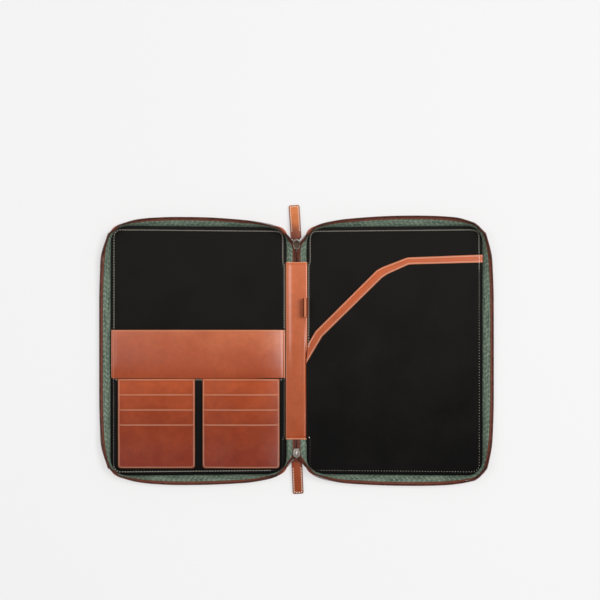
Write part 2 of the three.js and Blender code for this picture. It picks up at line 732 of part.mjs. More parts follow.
// The ring that joins slider and tab: flat wire round a rectangle, its first bar at the origin
function pullRing() {
  const outer = roundedOutline(ringWidth, ringReach + ringWire, ringWire);
  const inner = roundedOutline(ringWidth - 2 * ringWire, ringReach - ringWire, 0.4 * ringWire);
  const shape = new THREE.Shape(outer);
  shape.holes.push(new THREE.Path(inner));
  const geometry = new THREE.ExtrudeGeometry(shape, { depth: ringWire, bevelEnabled: false });
  return geometry.translate(0, ringReach / 2, -ringWire / 2);
}

function roundedOutline(width, height, radius) {
  const points = [];
  for (const [sideX, sideY, turn] of [[1, 1, 0], [-1, 1, 1], [-1, -1, 2], [1, -1, 3]]) {
    for (let i = 0; i <= 4; i++) {
      const angle = (turn + i / 4) * (Math.PI / 2);
      const x = sideX * (width / 2 - radius) + radius * Math.cos(angle);
      const y = sideY * (height / 2 - radius) + radius * Math.sin(angle);
      points.push(new THREE.Vector2(x, y));
    }
  }
  return points;
}

// The leather tab: two layers sewn together round the end of the ring, whose bar lies at the origin
function pullTab() {
  const blank = plate(roundedOutline(tabWidth, tabLength, tabCornerRadius), -tabLeather, tabLeather);
  blank.translate(0, tabLength / 2 - tabGrip, 0);
  const slot = new THREE.BoxGeometry(
    ringWidth + 2 * clearance,
    2 * tabGrip + ringWire + 2 * clearance,
    ringWire + 2 * clearance);
  return cut(blank, slot.translate(0, -tabGrip, 0));
}

// A slider, its ring and its tab, hung on the zip where it closes by one end of the spine
function pull(name, along, yaw, turned) {
  const group = new THREE.Group();
  group.rotation.z = turned ? Math.PI : 0;
  const body = piece(`slider_${name}`, slider(), "metal");
  body.position.set(0, along, riseAt(along));
  body.rotation.x = slopeAt(along);
  group.add(body);
  const drop = sliderGap / 2 + sliderPlate + bridgeGap / 2;
  const hook = new THREE.Vector3(0, ringInBridge, -drop).applyEuler(body.rotation).add(body.position);
  const swing = new THREE.Group();
  swing.position.copy(hook);
  swing.rotation.z = THREE.MathUtils.degToRad(yaw);
  const ring = piece(`pull_ring_${name}`, pullRing(), "metal");
  const tabDrop = Math.asin((hook.z - tabLeather) / (ringReach + tabLength - tabGrip));
  ring.rotation.x = -tabDrop;
  const tab = piece(`pull_tab_${name}`, pullTab(), "tan");
  tab.position.set(0, ringReach * Math.cos(tabDrop), -ringReach * Math.sin(tabDrop));
  tab.rotation.x = -tabDrop;
  swing.add(ring, tab);
  group.add(swing);
  return group;
}

const folder = new THREE.Group();
folder.add(piece("cover", cover(), "tan"));

const rightHalf = new THREE.Group();
rightHalf.add(...wallOfHalf("right"));
rightHalf.add(piece("tablet_pocket", tabletPocket(), "black"));
rightHalf.add(piece("pocket_trim", pocketTrim(), "tan"));

const leftHalf = new THREE.Group();
leftHalf.scale.x = -1;
leftHalf.add(...wallOfHalf("left"));
leftHalf.add(piece("document_pocket", documentPocket(), "tan"));
leftHalf.add(piece("card_panel", cardPanel(), "black"));
leftHalf.add(...cardBank("inner", cardBankNear));
leftHalf.add(...cardBank("outer", cardBankFar));

folder.add(rightHalf, leftHalf);
folder.add(piece("spine_panel", spinePanel(), "tan"));
folder.add(piece("pen_loop", penLoop(), "tan"));
folder.add(pull("top", topSliderAt, topTabYaw, false));
folder.add(pull("bottom", bottomSliderAt, bottomTabYaw, true));

export default folder;
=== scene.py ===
# Open zip folder: leathers, lining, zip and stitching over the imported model.
import bmesh
import bpy
import math
import numpy as np
from mathutils import Matrix, Vector, noise
from mathutils.bvhtree import BVHTree


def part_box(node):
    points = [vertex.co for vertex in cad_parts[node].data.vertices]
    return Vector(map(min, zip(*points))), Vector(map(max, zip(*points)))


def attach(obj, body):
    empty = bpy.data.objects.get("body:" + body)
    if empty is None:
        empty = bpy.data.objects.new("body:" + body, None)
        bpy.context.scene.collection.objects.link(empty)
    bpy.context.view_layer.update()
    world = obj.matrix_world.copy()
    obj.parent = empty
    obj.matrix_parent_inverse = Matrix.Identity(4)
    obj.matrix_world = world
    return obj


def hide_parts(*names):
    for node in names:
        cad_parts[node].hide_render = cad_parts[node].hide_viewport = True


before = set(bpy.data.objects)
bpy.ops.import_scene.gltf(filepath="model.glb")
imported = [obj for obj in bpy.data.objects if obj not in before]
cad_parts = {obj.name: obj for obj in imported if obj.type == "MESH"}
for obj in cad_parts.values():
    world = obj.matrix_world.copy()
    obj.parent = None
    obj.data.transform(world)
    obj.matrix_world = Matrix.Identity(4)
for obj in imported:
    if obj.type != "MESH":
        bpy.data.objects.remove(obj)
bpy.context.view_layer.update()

mm = 0.001
print("frame loaded,", len(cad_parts), "nodes")

# Places read from the frame
panelLow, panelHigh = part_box("panel_right")
spineHalf = panelLow.x
outerEdge = panelHigh.x
middleOfHalf = (spineHalf + outerEdge) / 2

panelEdge = {
    "cornerRadius": 13 * mm,
    "taper": 2.2 * mm,  # the panels are this much lower beside the spine
}
cornerRadius = panelEdge["cornerRadius"]
edgeSlope = panelEdge["taper"] / (outerEdge - spineHalf)
outerRound = Vector((outerEdge - cornerRadius, panelHigh.y - cornerRadius))
spineRound = Vector((spineHalf + cornerRadius, 0))
spineRound.y = outerRound.y - edgeSlope * (outerRound.x - spineRound.x)


# Half the panel's height at x, with its edge taken in by an inset
def edgeHeight(x, inset=0.0):
    radius = cornerRadius - inset
    if x < spineRound.x:
        return spineRound.y + math.sqrt(max(0, radius ** 2 - (x - spineRound.x) ** 2))
    if x > outerRound.x:
        return outerRound.y + math.sqrt(max(0, radius ** 2 - (x - outerRound.x) ** 2))
    return spineRound.y + radius + edgeSlope * (x - spineRound.x)


# How far round the panel's edge a point lies, from the middle of the outer edge, and how far outside it
def edgePlace(x, y):
    x, sign, y = abs(x), (1 if y >= 0 else -1), abs(y)
    topStart = outerRound.y + cornerRadius * math.pi / 2
    topEnd = topStart + (outerRound.x - spineRound.x)
    if x > middleOfHalf and y <= outerRound.y:
        return sign * y, x - outerEdge
    if x >= outerRound.x:
        dx, dy = x - outerRound.x, y - outerRound.y
        return sign * (outerRound.y + cornerRadius * math.atan2(dy, dx)), math.hypot(dx, dy) - cornerRadius
    if x > spineRound.x:
        return sign * (topStart + outerRound.x - x), y - edgeHeight(x)
    if y > spineRound.y:
        dx, dy = x - spineRound.x, y - spineRound.y
        turn = math.atan2(-dx, dy)
        return sign * (topEnd + cornerRadius * turn), math.hypot(dx, dy) - cornerRadius
    return sign * (topEnd + cornerRadius * math.pi / 2 + spineRound.y - y), spineHalf - x


def smooth(value):
    t = min(1.0, max(0.0, value))
    return t * t * (3 - 2 * t)


def bump(distance, width):
    return math.exp(-(distance / width) ** 2)


# Modelling helpers

def pickOnly(*objects):
    bpy.ops.object.select_all(action="DESELECT")
    for item in objects:
        item.select_set(True)
    bpy.context.view_layer.objects.active = objects[0]


def pickFaces(piece, test):
    pickOnly(piece)
    bpy.ops.object.mode_set(mode="EDIT")
    bpy.ops.mesh.select_mode(type="FACE")
    bpy.ops.mesh.select_all(action="DESELECT")
    mesh = bmesh.from_edit_mesh(piece.data)
    for face in mesh.faces:
        face.select_set(test(face))
    bmesh.update_edit_mesh(piece.data)


def editAll(piece):
    pickOnly(piece)
    bpy.ops.object.mode_set(mode="EDIT")
    bpy.ops.mesh.select_all(action="SELECT")


def leaveEdit():
    bpy.ops.object.mode_set(mode="OBJECT")


def applyModifier(piece, kind, **settings):
    pickOnly(piece)
    modifier = piece.modifiers.new(kind.lower(), kind)
    for key, value in settings.items():
        setattr(modifier, key, value)
    bpy.ops.object.modifier_apply(modifier=modifier.name)


def roundEdges(piece, width, segments, angle):
    applyModifier(piece, "BEVEL", width=width, segments=segments, limit_method="ANGLE",
                  angle_limit=math.radians(angle), use_clamp_overlap=True)


def softenMesh(piece, levels):
    applyModifier(piece, "SUBSURF", levels=levels, render_levels=levels)


def shadeSmooth(piece, angle):
    pickOnly(piece)
    bpy.ops.object.shade_smooth_by_angle(angle=math.radians(angle))


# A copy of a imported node, its loose triangles merged and turned back into quads
def copyNode(node, name):
    piece = bpy.data.objects.new(name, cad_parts[node].data.copy())
    piece.data.name = name
    bpy.context.scene.collection.objects.link(piece)
    piece.data.materials.clear()
    editAll(piece)
    bpy.ops.mesh.remove_doubles(threshold=0.02 * mm)
    bpy.ops.mesh.tris_convert_to_quads(face_threshold=math.radians(50), shape_threshold=math.radians(180))
    bpy.ops.mesh.normals_make_consistent(inside=False)
    leaveEdit()
    return piece


def dissolveFlats(piece):
    editAll(piece)
    bpy.ops.mesh.dissolve_limited(angle_limit=math.radians(1))
    leaveEdit()


# A grid whose rows and columns are given; place(column, row) says where each of its points goes
def sheetFrom(name, columns, rows, place):
    bpy.ops.object.select_all(action="DESELECT")
    bpy.ops.mesh.primitive_grid_add(x_subdivisions=len(columns) - 1, y_subdivisions=len(rows) - 1, size=2)
    piece = bpy.context.active_object
    piece.name = name
    piece.data.name = name
    for vertex in piece.data.vertices:
        i = round((vertex.co.x + 1) / 2 * (len(columns) - 1))
        j = round((vertex.co.y + 1) / 2 * (len(rows) - 1))
        vertex.co = place(columns[i], rows[j])
    return piece


def thicken(piece, thickness):
    editAll(piece)
    bpy.ops.mesh.normals_make_consistent(inside=False)
    leaveEdit()
    if sum(face.normal.z for face in piece.data.polygons) < 0:
        piece.data.flip_normals()
    applyModifier(piece, "SOLIDIFY", thickness=thickness, offset=-1, use_even_offset=True)


# Distances from an edge where a sewn sheet needs a line of points, in millimetres
nearEdge = [0, 0.5, 1.0, 1.5, 2.0, 2.5, 3.0, 3.5, 4.0, 4.7, 5.6, 7, 9, 12, 16]


def edgeSteps(low, high, widest=12):
    inner = [d * mm for d in nearEdge if d * mm < (high - low) / 2.2]
    left = [low + d for d in inner]
    right = [high - d for d in reversed(inner)]
    count = max(1, math.ceil((right[0] - left[-1]) / (widest * mm)))
    middle = [left[-1] + (right[0] - left[-1]) * i / count for i in range(1, count)]
    return left + middle + right


farFromEdge = 20 * mm  # for pieces whose edges are hidden


# Writes each point's distance from the piece's own edge, in millimetres, for the leather to read
def markEdge(piece, distanceOf):
    layer = piece.data.attributes.new("edge", "FLOAT", "POINT")
    values = [distanceOf(v.co) / mm for v in piece.data.vertices]
    layer.data.foreach_set("value", values)


def finishPiece(piece, material, slot, *nodes):
    piece.data.materials.clear()
    piece.data.materials.append(material)
    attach(piece, "root")
    if nodes:
        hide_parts(*nodes)
    return piece


# A box added to a piece
def joinCube(piece, size, place):
    bpy.ops.mesh.primitive_cube_add(size=1, location=place)
    cube = bpy.context.active_object
    cube.scale = size
    bpy.ops.object.transform_apply(location=True, rotation=False, scale=True)
    pickOnly(piece, cube)
    bpy.ops.object.join()


# Many copies of one small shape as a single mesh, one for each frame
def repeatShape(name, shape, frames):
    points = np.array([v.co[:] for v in shape.data.vertices])
    faces = [tuple(p.vertices) for p in shape.data.polygons]
    allPoints = []
    allFaces = []
    for number, matrix in enumerate(frames):
        turned = np.array(matrix.to_3x3()) @ points.T + np.array(matrix.translation)[:, None]
        allPoints.append(turned.T)
        allFaces.extend([tuple(i + number * len(points) for i in face) for face in faces])
    mesh = bpy.data.meshes.new(name)
    mesh.from_pydata(np.concatenate(allPoints).tolist(), [], allFaces)
    mesh.polygons.foreach_set("use_smooth", [True] * len(mesh.polygons))
    piece = bpy.data.objects.new(name, mesh)
    bpy.context.scene.collection.objects.link(piece)
    return piece


# Equal steps along a flat route: the middle of each step and the way it runs
def walkRoute(route, pitch):
    points = np.array(route, float)
    lengths = np.linalg.norm(np.diff(points, axis=0), axis=1)
    far = np.concatenate([[0], np.cumsum(lengths)])
    count = max(1, round(far[-1] / pitch))
    steps = []
    for i in range(count):
        here = (i + 0.5) * far[-1] / count
        k = min(len(lengths) - 1, int(np.searchsorted(far, here, side="right")) - 1)
        share = (here - far[k]) / lengths[k]
        run = points[k + 1] - points[k]
        steps.append((points[k] + run * share, run / lengths[k]))
    return steps


def surfaceOf(*pieces):
    points = []
    faces = []
    for piece in pieces:
        start = len(points)
        points += [v.co.copy() for v in piece.data.vertices]
        faces += [[start + i for i in p.vertices] for p in piece.data.polygons]
    return BVHTree.FromPolygons(points, faces)


# Materials

def colour(hexText):
    parts = [int(hexText[i:i + 2], 16) / 255 for i in (0, 2, 4)]
    linear = [p / 12.92 if p <= 0.04045 else ((p + 0.055) / 1.055) ** 2.4 for p in parts]
    return (*linear, 1.0)


def addNode(tree, kind, settings=None, links=None):
    node = tree.nodes.new("ShaderNode" + kind)
    for key, value in (settings or {}).items():
        if isinstance(key, str) and key[0].islower():
            setattr(node, key, value)
        else:
            node.inputs[key].default_value = value
    for key, socket in (links or {}).items():
        tree.links.new(socket, node.inputs[key])
    return node


def newMaterial(name):
    material = bpy.data.materials.new(name)
    material.use_nodes = True
    tree = material.node_tree
    tree.nodes.clear()
    shader = addNode(tree, "BsdfPrincipled")
    output = addNode(tree, "OutputMaterial")
    tree.links.new(shader.outputs["BSDF"], output.inputs["Surface"])
    return material, tree, shader


def feed(tree, socket, value):
    if isinstance(value, bpy.types.NodeSocket):
        tree.links.new(value, socket)
    else:
        socket.default_value = value


def ramp(tree, source, stops):
    node = addNode(tree, "ValToRGB", links={"Fac": source})
    elements = node.color_ramp.elements
    while len(elements) < len(stops):
        elements.new(0.5)
    for element, (place, value) in zip(elements, stops):
        element.position = place
        element.color = value if isinstance(value, tuple) else (value, value, value, 1)
    return node.outputs["Color"]


def mixColour(tree, factor, first, second, blend="MIX"):
    node = addNode(tree, "Mix", {"data_type": "RGBA", "blend_type": blend})
    for number, value in ((0, factor), (6, first), (7, second)):
        feed(tree, node.inputs[number], value)
    return node.outputs[2]


def calc(tree, operation, first, second=0.0, third=0.0):
    node = addNode(tree, "Math", {"operation": operation})
    for socket, value in zip(node.inputs, (first, second, third)):
        feed(tree, socket, value)
    return node.outputs[0]


# What every surface here has: its colour, its gloss, and its relief in millimetres
def dress(tree, shader, body, roughness, specular, relief=None, strength=0.5, depth=0.1):
    for key, value in (("Base Color", body), ("Roughness", roughness), ("Specular IOR Level", specular)):
        feed(tree, shader.inputs[key], value)
    if relief:
        rise = addNode(tree, "Bump", {"Strength": strength, "Distance": depth * mm}, {"Height": relief})
        tree.links.new(rise.outputs["Normal"], shader.inputs["Normal"])


def noiseOf(tree, place, size, detail=2.0, roughness=0.5, distortion=0.0):
    node = addNode(tree, "TexNoise", {"Scale": 1 / size, "Detail": detail, "Roughness": roughness,
                                      "Distortion": distortion}, {"Vector": place})
    return node.outputs["Fac"]


# Smooth waxed calf leather, dyed through and polished: painted shade darkens it towards the foot of a piece;
# near an edge it turns to the look's edge colour (a painted highlight on most pieces, dark edge paint on the
# pull tabs), painted shade gives a faint dark line beside each seam, and a low gloss that varies
def waxedLeather(name, look):
    material, tree, shader = newMaterial(name)
    place = addNode(tree, "TexCoord").outputs["Object"]
    cloudy = noiseOf(tree, place, look["cloudSize"] * mm, 2, 0.45, 0.3)
    fine = noiseOf(tree, place, 1.6 * mm, 3, 0.6)
    apart = addNode(tree, "SeparateXYZ", links={0: place})
    upward = calc(tree, "MULTIPLY_ADD", apart.outputs["X"], look["slant"], apart.outputs["Y"])
    low, high = look["from"] * mm, look["to"] * mm
    share = addNode(tree, "MapRange", {"From Min": low, "From Max": high}, {"Value": upward}).outputs[0]
    share = calc(tree, "ADD", share, calc(tree, "MULTIPLY_ADD", cloudy, look["clouds"], -look["clouds"] / 2))
    # Colour from foot to head along the piece: painted shade, darker low down where the light falls off
    body = ramp(tree, share, [(0.0, colour(look["foot"])), (0.5, colour(look["middle"])),
                              (1.0, colour(look["head"]))])
    tone = ramp(tree, fine, [(0.3, 0.86), (0.7, 1.0)])
    body = mixColour(tree, 1.0, body, tone, "MULTIPLY")
    mottle = ramp(tree, noiseOf(tree, place, 8 * mm, 3, 0.55, 0.6), [(0.3, 1 - look["mottle"]), (0.7, 1.0)])
    body = mixColour(tree, 1.0, body, mottle, "MULTIPLY")
    edge = addNode(tree, "Attribute", {"attribute_name": "edge"}).outputs["Fac"]
    edgeShare = calc(tree, "DIVIDE", edge, 5.0)
    # The edge colour within a millimetre of the edge: a painted highlight where it is pale, real edge paint
    # where it is dark (pull tabs)
    edgeHighlightAndPaint = ramp(tree, edgeShare, [(0.0, 0.9), (0.08, 0.7), (0.18, 0.0)])
    # A darker band a few millimetres in from each edge: painted shade along the stitch channel beside each
    # seam
    seam = ramp(tree, edgeShare, [(0.36, 0.0), (0.46, 0.6), (0.62, 0.3), (0.95, 0.0)])
    body = mixColour(tree, calc(tree, "MULTIPLY", edgeHighlightAndPaint, look["edgeHighlightAndPaint"]), body, colour(look["edge"]))
    body = mixColour(tree, calc(tree, "MULTIPLY", seam, look["seam"]), body, colour(look["foot"]))
    duller = look["roughness"] - look["polishRange"] / 2
    polish = calc(tree, "MULTIPLY_ADD", cloudy, look["polishRange"], duller)
    shader.inputs["Coat Weight"].default_value = look["coat"]
    shader.inputs["Coat Roughness"].default_value = 0.3
    pores = addNode(tree, "TexVoronoi", {"Scale": 1 / (0.9 * mm)}, {"Vector": place}).outputs["Distance"]
    hair = noiseOf(tree, place, 0.35 * mm, 2, 0.6)
    creases = noiseOf(tree, place, 11 * mm, 3, 0.5, 0.5)
    relief = calc(tree, "MULTIPLY_ADD", pores, 0.35, calc(tree, "MULTIPLY", hair, 0.25))
    relief = calc(tree, "MULTIPLY_ADD", creases, look["creases"], relief)
    dress(tree, shader, body, polish, look["specular"], relief, look["grain"], 0.18)
    return material


# Black nubuck, sanded to a short nap: nearly no gloss, with faint cloudy brushing marks, and painted shade
# that darkens it towards the bottom
def blackNubuck(name, look):
    material, tree, shader = newMaterial(name)
    place = addNode(tree, "TexCoord").outputs["Object"]
    cloudy = noiseOf(tree, place, 60 * mm, 2, 0.5, 0.4)
    nap = noiseOf(tree, place, 0.8 * mm, 3, 0.7)
    mottle = calc(tree, "MULTIPLY_ADD", nap, 0.5, calc(tree, "MULTIPLY", cloudy, 0.25))
    upward = addNode(tree, "SeparateXYZ", links={0: place}).outputs["Y"]
    # Painted shade: the nubuck turns darker towards the bottom of the panel, where the light falls off
    paintedShadeDownward = addNode(tree, "MapRange", {"From Min": -165 * mm, "From Max": 165 * mm}, {"Value": upward})
    mottle = calc(tree, "MULTIPLY_ADD", paintedShadeDownward.outputs[0], 0.3, mottle)
    body = ramp(tree, mottle, [(0.36, colour(look["deep"])), (0.62, colour(look["pale"]))])
    relief = calc(tree, "MULTIPLY_ADD", nap, 0.5, calc(tree, "MULTIPLY", cloudy, 1.2))
    dress(tree, shader, body, 0.88, look["specular"], relief, 0.5, 0.12)
    return material


# Woven lining: pale floats that run in a herringbone along the wall over a darker green ground
def herringboneCloth(name, look):
    material, tree, shader = newMaterial(name)
    along = addNode(tree, "SeparateXYZ", links={0: addNode(tree, "TexCoord").outputs["UV"]})
    u, v = along.outputs["X"], along.outputs["Y"]  # millimetres round the wall and up it
    place = addNode(tree, "TexCoord").outputs["Object"]
    wander = calc(tree, "MULTIPLY_ADD", noiseOf(tree, place, 7 * mm, 2), 1.6, -0.8)
    zigzag = calc(tree, "PINGPONG", v, look["column"])
    diagonal = calc(tree, "ADD", calc(tree, "ADD", u, wander), zigzag)
    stripe = calc(tree, "PINGPONG", diagonal, look["pitch"] / 2)
    stripeShare = calc(tree, "DIVIDE", stripe, look["pitch"] / 2)
    floats = ramp(tree, stripeShare, [(0.5, 0.0), (0.85, 1.0)])
    broken = ramp(tree, noiseOf(tree, place, 2.6 * mm, 3, 0.7), [(0.44, 0.05), (0.6, 1.0)])
    floats = calc(tree, "MULTIPLY", floats, broken)
    threads = noiseOf(tree, place, 0.6 * mm, 2, 0.7)
    longWays, crossWays = calc(tree, "DIVIDE", u, 26), calc(tree, "DIVIDE", v, 1.3)
    stretched = addNode(tree, "CombineXYZ", links={0: longWays, 1: crossWays}).outputs[0]
    streaks = addNode(tree, "TexNoise", {"Scale": 1.0, "Detail": 3.0}, {"Vector": stretched}).outputs["Fac"]
    worn = calc(tree, "MULTIPLY_ADD", streaks, 1.2, calc(tree, "MULTIPLY_ADD", threads, 0.5, -0.35))
    ground = ramp(tree, worn, [(0.3, colour(look["deep"])), (0.7, colour(look["ground"]))])
    body = mixColour(tree, calc(tree, "MULTIPLY", floats, look["contrast"]), ground, colour(look["pale"]))
    # Painted shade along the wall's foot, a dark line where the lining meets the panel
    foot = ramp(tree, calc(tree, "DIVIDE", v, 10.0), [(0.1, 0.12), (0.2, 1.0)])
    body = mixColour(tree, 1.0, body, foot, "MULTIPLY")
    relief = calc(tree, "MULTIPLY_ADD", floats, 0.8, calc(tree, "MULTIPLY", threads, 0.6))
    dress(tree, shader, body, 0.72, 0.25, relief, 0.6, 0.2)
    return material


# Polyester zip tape: close ribs across its length, matt and a little uneven in its dye
def wovenTape(name, look):
    material, tree, shader = newMaterial(name)
    place = addNode(tree, "TexCoord").outputs["Object"]
    along = addNode(tree, "SeparateXYZ", links={0: addNode(tree, "TexCoord").outputs["UV"]})
    rib = calc(tree, "DIVIDE", calc(tree, "PINGPONG", along.outputs["X"], 0.4), 0.4)
    dye = noiseOf(tree, place, 6 * mm, 3, 0.6)
    shade = calc(tree, "MULTIPLY_ADD", rib, 0.4, calc(tree, "MULTIPLY", dye, 0.6))
    body = ramp(tree, shade, [(0.2, colour(look["deep"])), (0.75, colour(look["pale"]))])
    dress(tree, shader, body, 0.8, 0.2, rib, 0.5, 0.15)
    return material


# Nylon monofilament, wound and set: smooth, with a soft shine and slight changes of tone
def coilNylon(name, look):
    material, tree, shader = newMaterial(name)
    place = addNode(tree, "TexCoord").outputs["Object"]
    tone = noiseOf(tree, place, 8 * mm, 3, 0.6)
    body = ramp(tree, tone, [(0.35, colour(look["deep"])), (0.65, colour(look["pale"]))])
    dress(tree, shader, body, 0.5, 0.3)
    return material


# Die-cast slider metal, nickel plated and tumbled: bright on its edges, greyer and scratched on its faces
def platedMetal(name, look):
    material, tree, shader = newMaterial(name)
    place = addNode(tree, "TexCoord").outputs["Object"]
    tarnish = noiseOf(tree, place, 3 * mm, 4, 0.6)
    scratch = noiseOf(tree, place, 0.5 * mm, 2, 0.7)
    body = ramp(tree, tarnish, [(0.3, colour(look["deep"])), (0.7, colour(look["pale"]))])
    shader.inputs["Metallic"].default_value = 1.0
    rough = calc(tree, "MULTIPLY_ADD", scratch, 0.25, look["roughness"])
    dress(tree, shader, body, rough, 0.5, scratch, 0.2, 0.03)
    return material


# Waxed linen thread: pale and matt, a little uneven in tone where its fibres show
def linenThread(name, look):
    material, tree, shader = newMaterial(name)
    place = addNode(tree, "TexCoord").outputs["Object"]
    fibre = noiseOf(tree, place, 0.4 * mm, 2, 0.6)
    body = ramp(tree, fibre, [(0.3, colour(look["deep"])), (0.7, colour(look["pale"]))])
    dress(tree, shader, body, 0.65, 0.5, fibre, 0.4, 0.05)
    return material


tanBase = {
    "foot": "A84416", "middle": "B64F20", "head": "C25C2C", "edge": "E8A078", "from": -36, "to": 27,
    "cloudSize": 42, "clouds": 0.9, "edgeHighlightAndPaint": 0.75, "seam": 0.5, "roughness": 0.38, "polishRange": 0.14,
    "specular": 0.32, "coat": 0.05, "creases": 1.4, "grain": 0.45, "mottle": 0.14, "slant": 0.0,
}
documentLeather = waxedLeather("tanCalfWaxedDocumentPocket", {
    **tanBase, "head": "CC6838", "from": -54, "to": 18, "slant": 0.14, "specular": 0.56, "roughness": 0.31,
    "polishRange": 0.08})
cardLeather = waxedLeather("tanCalfWaxedCardSlots", {
    **tanBase, "foot": "842600", "middle": "98380A", "head": "BC5222", "from": -154, "to": -37,
    "edge": "E09058", "edgeHighlightAndPaint": 0.6, "clouds": 0.6, "cloudSize": 20, "specular": 0.38, "roughness": 0.32,
    "coat": 0.0, "mottle": 0.16})
trimLeather = waxedLeather("tanCalfWaxedTrim", {
    **tanBase, "foot": "B4532A", "middle": "C65C28", "head": "D0602C", "from": -10, "to": 125,
    "cloudSize": 20, "specular": 0.25})
spineLeather = waxedLeather("tanCalfWaxedSpine", {
    **tanBase, "foot": "A8440C", "middle": "BE5A2A", "head": "D87040", "from": -117, "to": 117,
    "cloudSize": 24, "clouds": 0.35, "seam": 0.3, "specular": 0.45, "roughness": 0.31})
tabLeather = waxedLeather("tanCalfWaxedPullTabs", {
    **tanBase, "foot": "96401A", "middle": "B8582E", "head": "E2844E", "from": -190, "to": 190,
    "edge": "6E3018", "cloudSize": 12, "clouds": 0.3, "seam": 0.2, "edgeHighlightAndPaint": 1.1})
# The pen loop's leather: its pale edge colour is a painted highlight on the crest, its dark foot colour
# painted shade on the flanks
loopLeather = waxedLeather("tanCalfWaxedPenLoop", {
    **tanBase, "foot": "6E2608", "middle": "C0602E", "head": "C8683A", "from": -40, "to": 56,
    "edge": "FFC49C", "edgeHighlightAndPaint": 1.0, "cloudSize": 24, "clouds": 0.2, "seam": 1.6,
    "specular": 0.22, "roughness": 0.45})
coverLeather = waxedLeather("tanCalfWaxedCover", {**tanBase, "from": -190, "to": 190, "clouds": 0.5})
panelNubuck = blackNubuck("blackNubuckSanded", {"deep": "0A0909", "pale": "1C1A18", "specular": 0.1})
liningCloth = herringboneCloth("greenHerringboneWoven", {
    "deep": "3E4E42", "ground": "728272", "pale": "A6B49E", "column": 5.0, "pitch": 6.6, "contrast": 0.6})
tapeCloth = wovenTape("brownZipTapeWoven", {"deep": "542C20", "pale": "7C4838"})
coilPlastic = coilNylon("brownNylonCoilWound", {"deep": "34170E", "pale": "5E2E21"})
# A darker copy of the plating, used as painted shade on the sliders and pull rings
sliderShade = platedMetal("nickelPaintedShade", {"deep": "4E3F36", "pale": "7A685A", "roughness": 0.4})
sliderMetal = platedMetal("nickelPlatedDieCast", {"deep": "847E76", "pale": "CAC2BA", "roughness": 0.24})
creamThread = linenThread("linenThreadWaxed", {"deep": "FAEACC", "pale": "FFFDF4"})
tanThread = linenThread("linenThreadTanned", {"deep": "D89A70", "pale": "F0C8A0"})
# A greyer copy of the thread, for rows lower on the panels
greyThread = linenThread("linenThreadGreyer", {"deep": "8A8478", "pale": "C4BCAE"})
# A darker copy of the thread: painted shade for the lowest stitches beside the spine
shadedThread = linenThread("linenThreadPaintedShade", {"deep": "4A463E", "pale": "6E695F"})
holeDark = linenThread("needleHolePaintedShade", {"deep": "1C0C06", "pale": "32180E"})
print("materials made")

# The black panels: covered board with a rounded edge and a channel for the border stitches
panelLook = {
    "insets": ((2.9 * mm, 0), (0.6 * mm, -0.22 * mm), (0.6 * mm, 0.22 * mm), (7 * mm, 0.2 * mm)),
    "turnUnder": 0.45 * mm, "edgeRound": 0.6 * mm,
}


def innerPanel(node, name):
    piece = copyNode(node, name)
    dissolveFlats(piece)
    pickFaces(piece, lambda face: face.normal.z > 0.9)
    for width, rise in panelLook["insets"]:
        bpy.ops.mesh.inset(thickness=width, depth=rise, use_even_offset=True)
    leaveEdit()
    # The facing turns under the board and closes the gap to the wall's foot
    pickFaces(piece, lambda face: face.normal.z < -0.9)
    middle = sum((v.co for v in piece.data.vertices), Vector()) / len(piece.data.vertices)
    spread = 1 + 2 * panelLook["turnUnder"] / (outerEdge - spineHalf)
    bpy.ops.transform.resize(value=(spread, 1 + (spread - 1) * 0.7, 1), center_override=middle)
    leaveEdit()
    roundEdges(piece, panelLook["edgeRound"], 3, 50)
    shadeSmooth(piece, 40)
    return finishPiece(piece, panelNubuck, "black_suede", node)


panelRight = innerPanel("panel_right", "innerPanelRight")
panelLeft = innerPanel("panel_left", "innerPanelLeft")
print("inner panels made")

# The outer leather, one piece with its spine, its cut edge rounded
coverPiece = copyNode("cover", "outerCover")
dissolveFlats(coverPiece)
roundEdges(coverPiece, 0.7 * mm, 3, 50)
shadeSmooth(coverPiece, 40)
markEdge(coverPiece, lambda co: farFromEdge)
finishPiece(coverPiece, coverLeather, "tan_leather", "cover")

# The wall round each half: leather below, cloth tape above, lining inside
wallLook = {"foot": 2.3 * mm, "edgeRound": 0.25 * mm, "seamUp": 8.6 * mm, "height": 15 * mm,
            "tucks": ((161, 3.4 * mm), (383, 3.2 * mm)), "tuckWidth": 12, "tuckUp": (8 * mm, 3.5 * mm),
            "end": 414, "fadeOut": 20}


def edgeOutward(point):
    step = 0.2 * mm
    dx = edgePlace(point.x + step, point.y)[1] - edgePlace(point.x - step, point.y)[1]
    dy = edgePlace(point.x, point.y + step)[1] - edgePlace(point.x, point.y - step)[1]
    return Vector((dx, dy, 0)).normalized()


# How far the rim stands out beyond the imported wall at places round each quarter, in millimetres: the
# soft wall leans a little differently in each
rimPlaces = [0, 135, 146, 151, 158, 164, 171, 190, 260, 345, 370, 381, 392]
rimLean = {
    (-1, 1): [1.4, 2.3, 1.8, -0.7, -0.1, -0.7, -2.0, -0.5, -1.1, -2.3, -2.9, -1.6, -3.4],
    (-1, -1): [1.4, 1.8, 1.6, -0.6, 0.0, -0.5, -1.7, -0.8, 0.8, 1.2, -0.9, -0.4, -2.6],
    (1, 1): [1.8, 1.6, 1.5, 0.6, 1.7, 2.0, 1.1, 3.5, 3.7, 0.6, -1.7, -1.2, -3.6],
    (1, -1): [1.8, 2.2, 2.7, 2.7, 4.4, 4.6, 3.8, 3.8, 3.4, 2.6, -0.2, 0.1, -2.4],
}


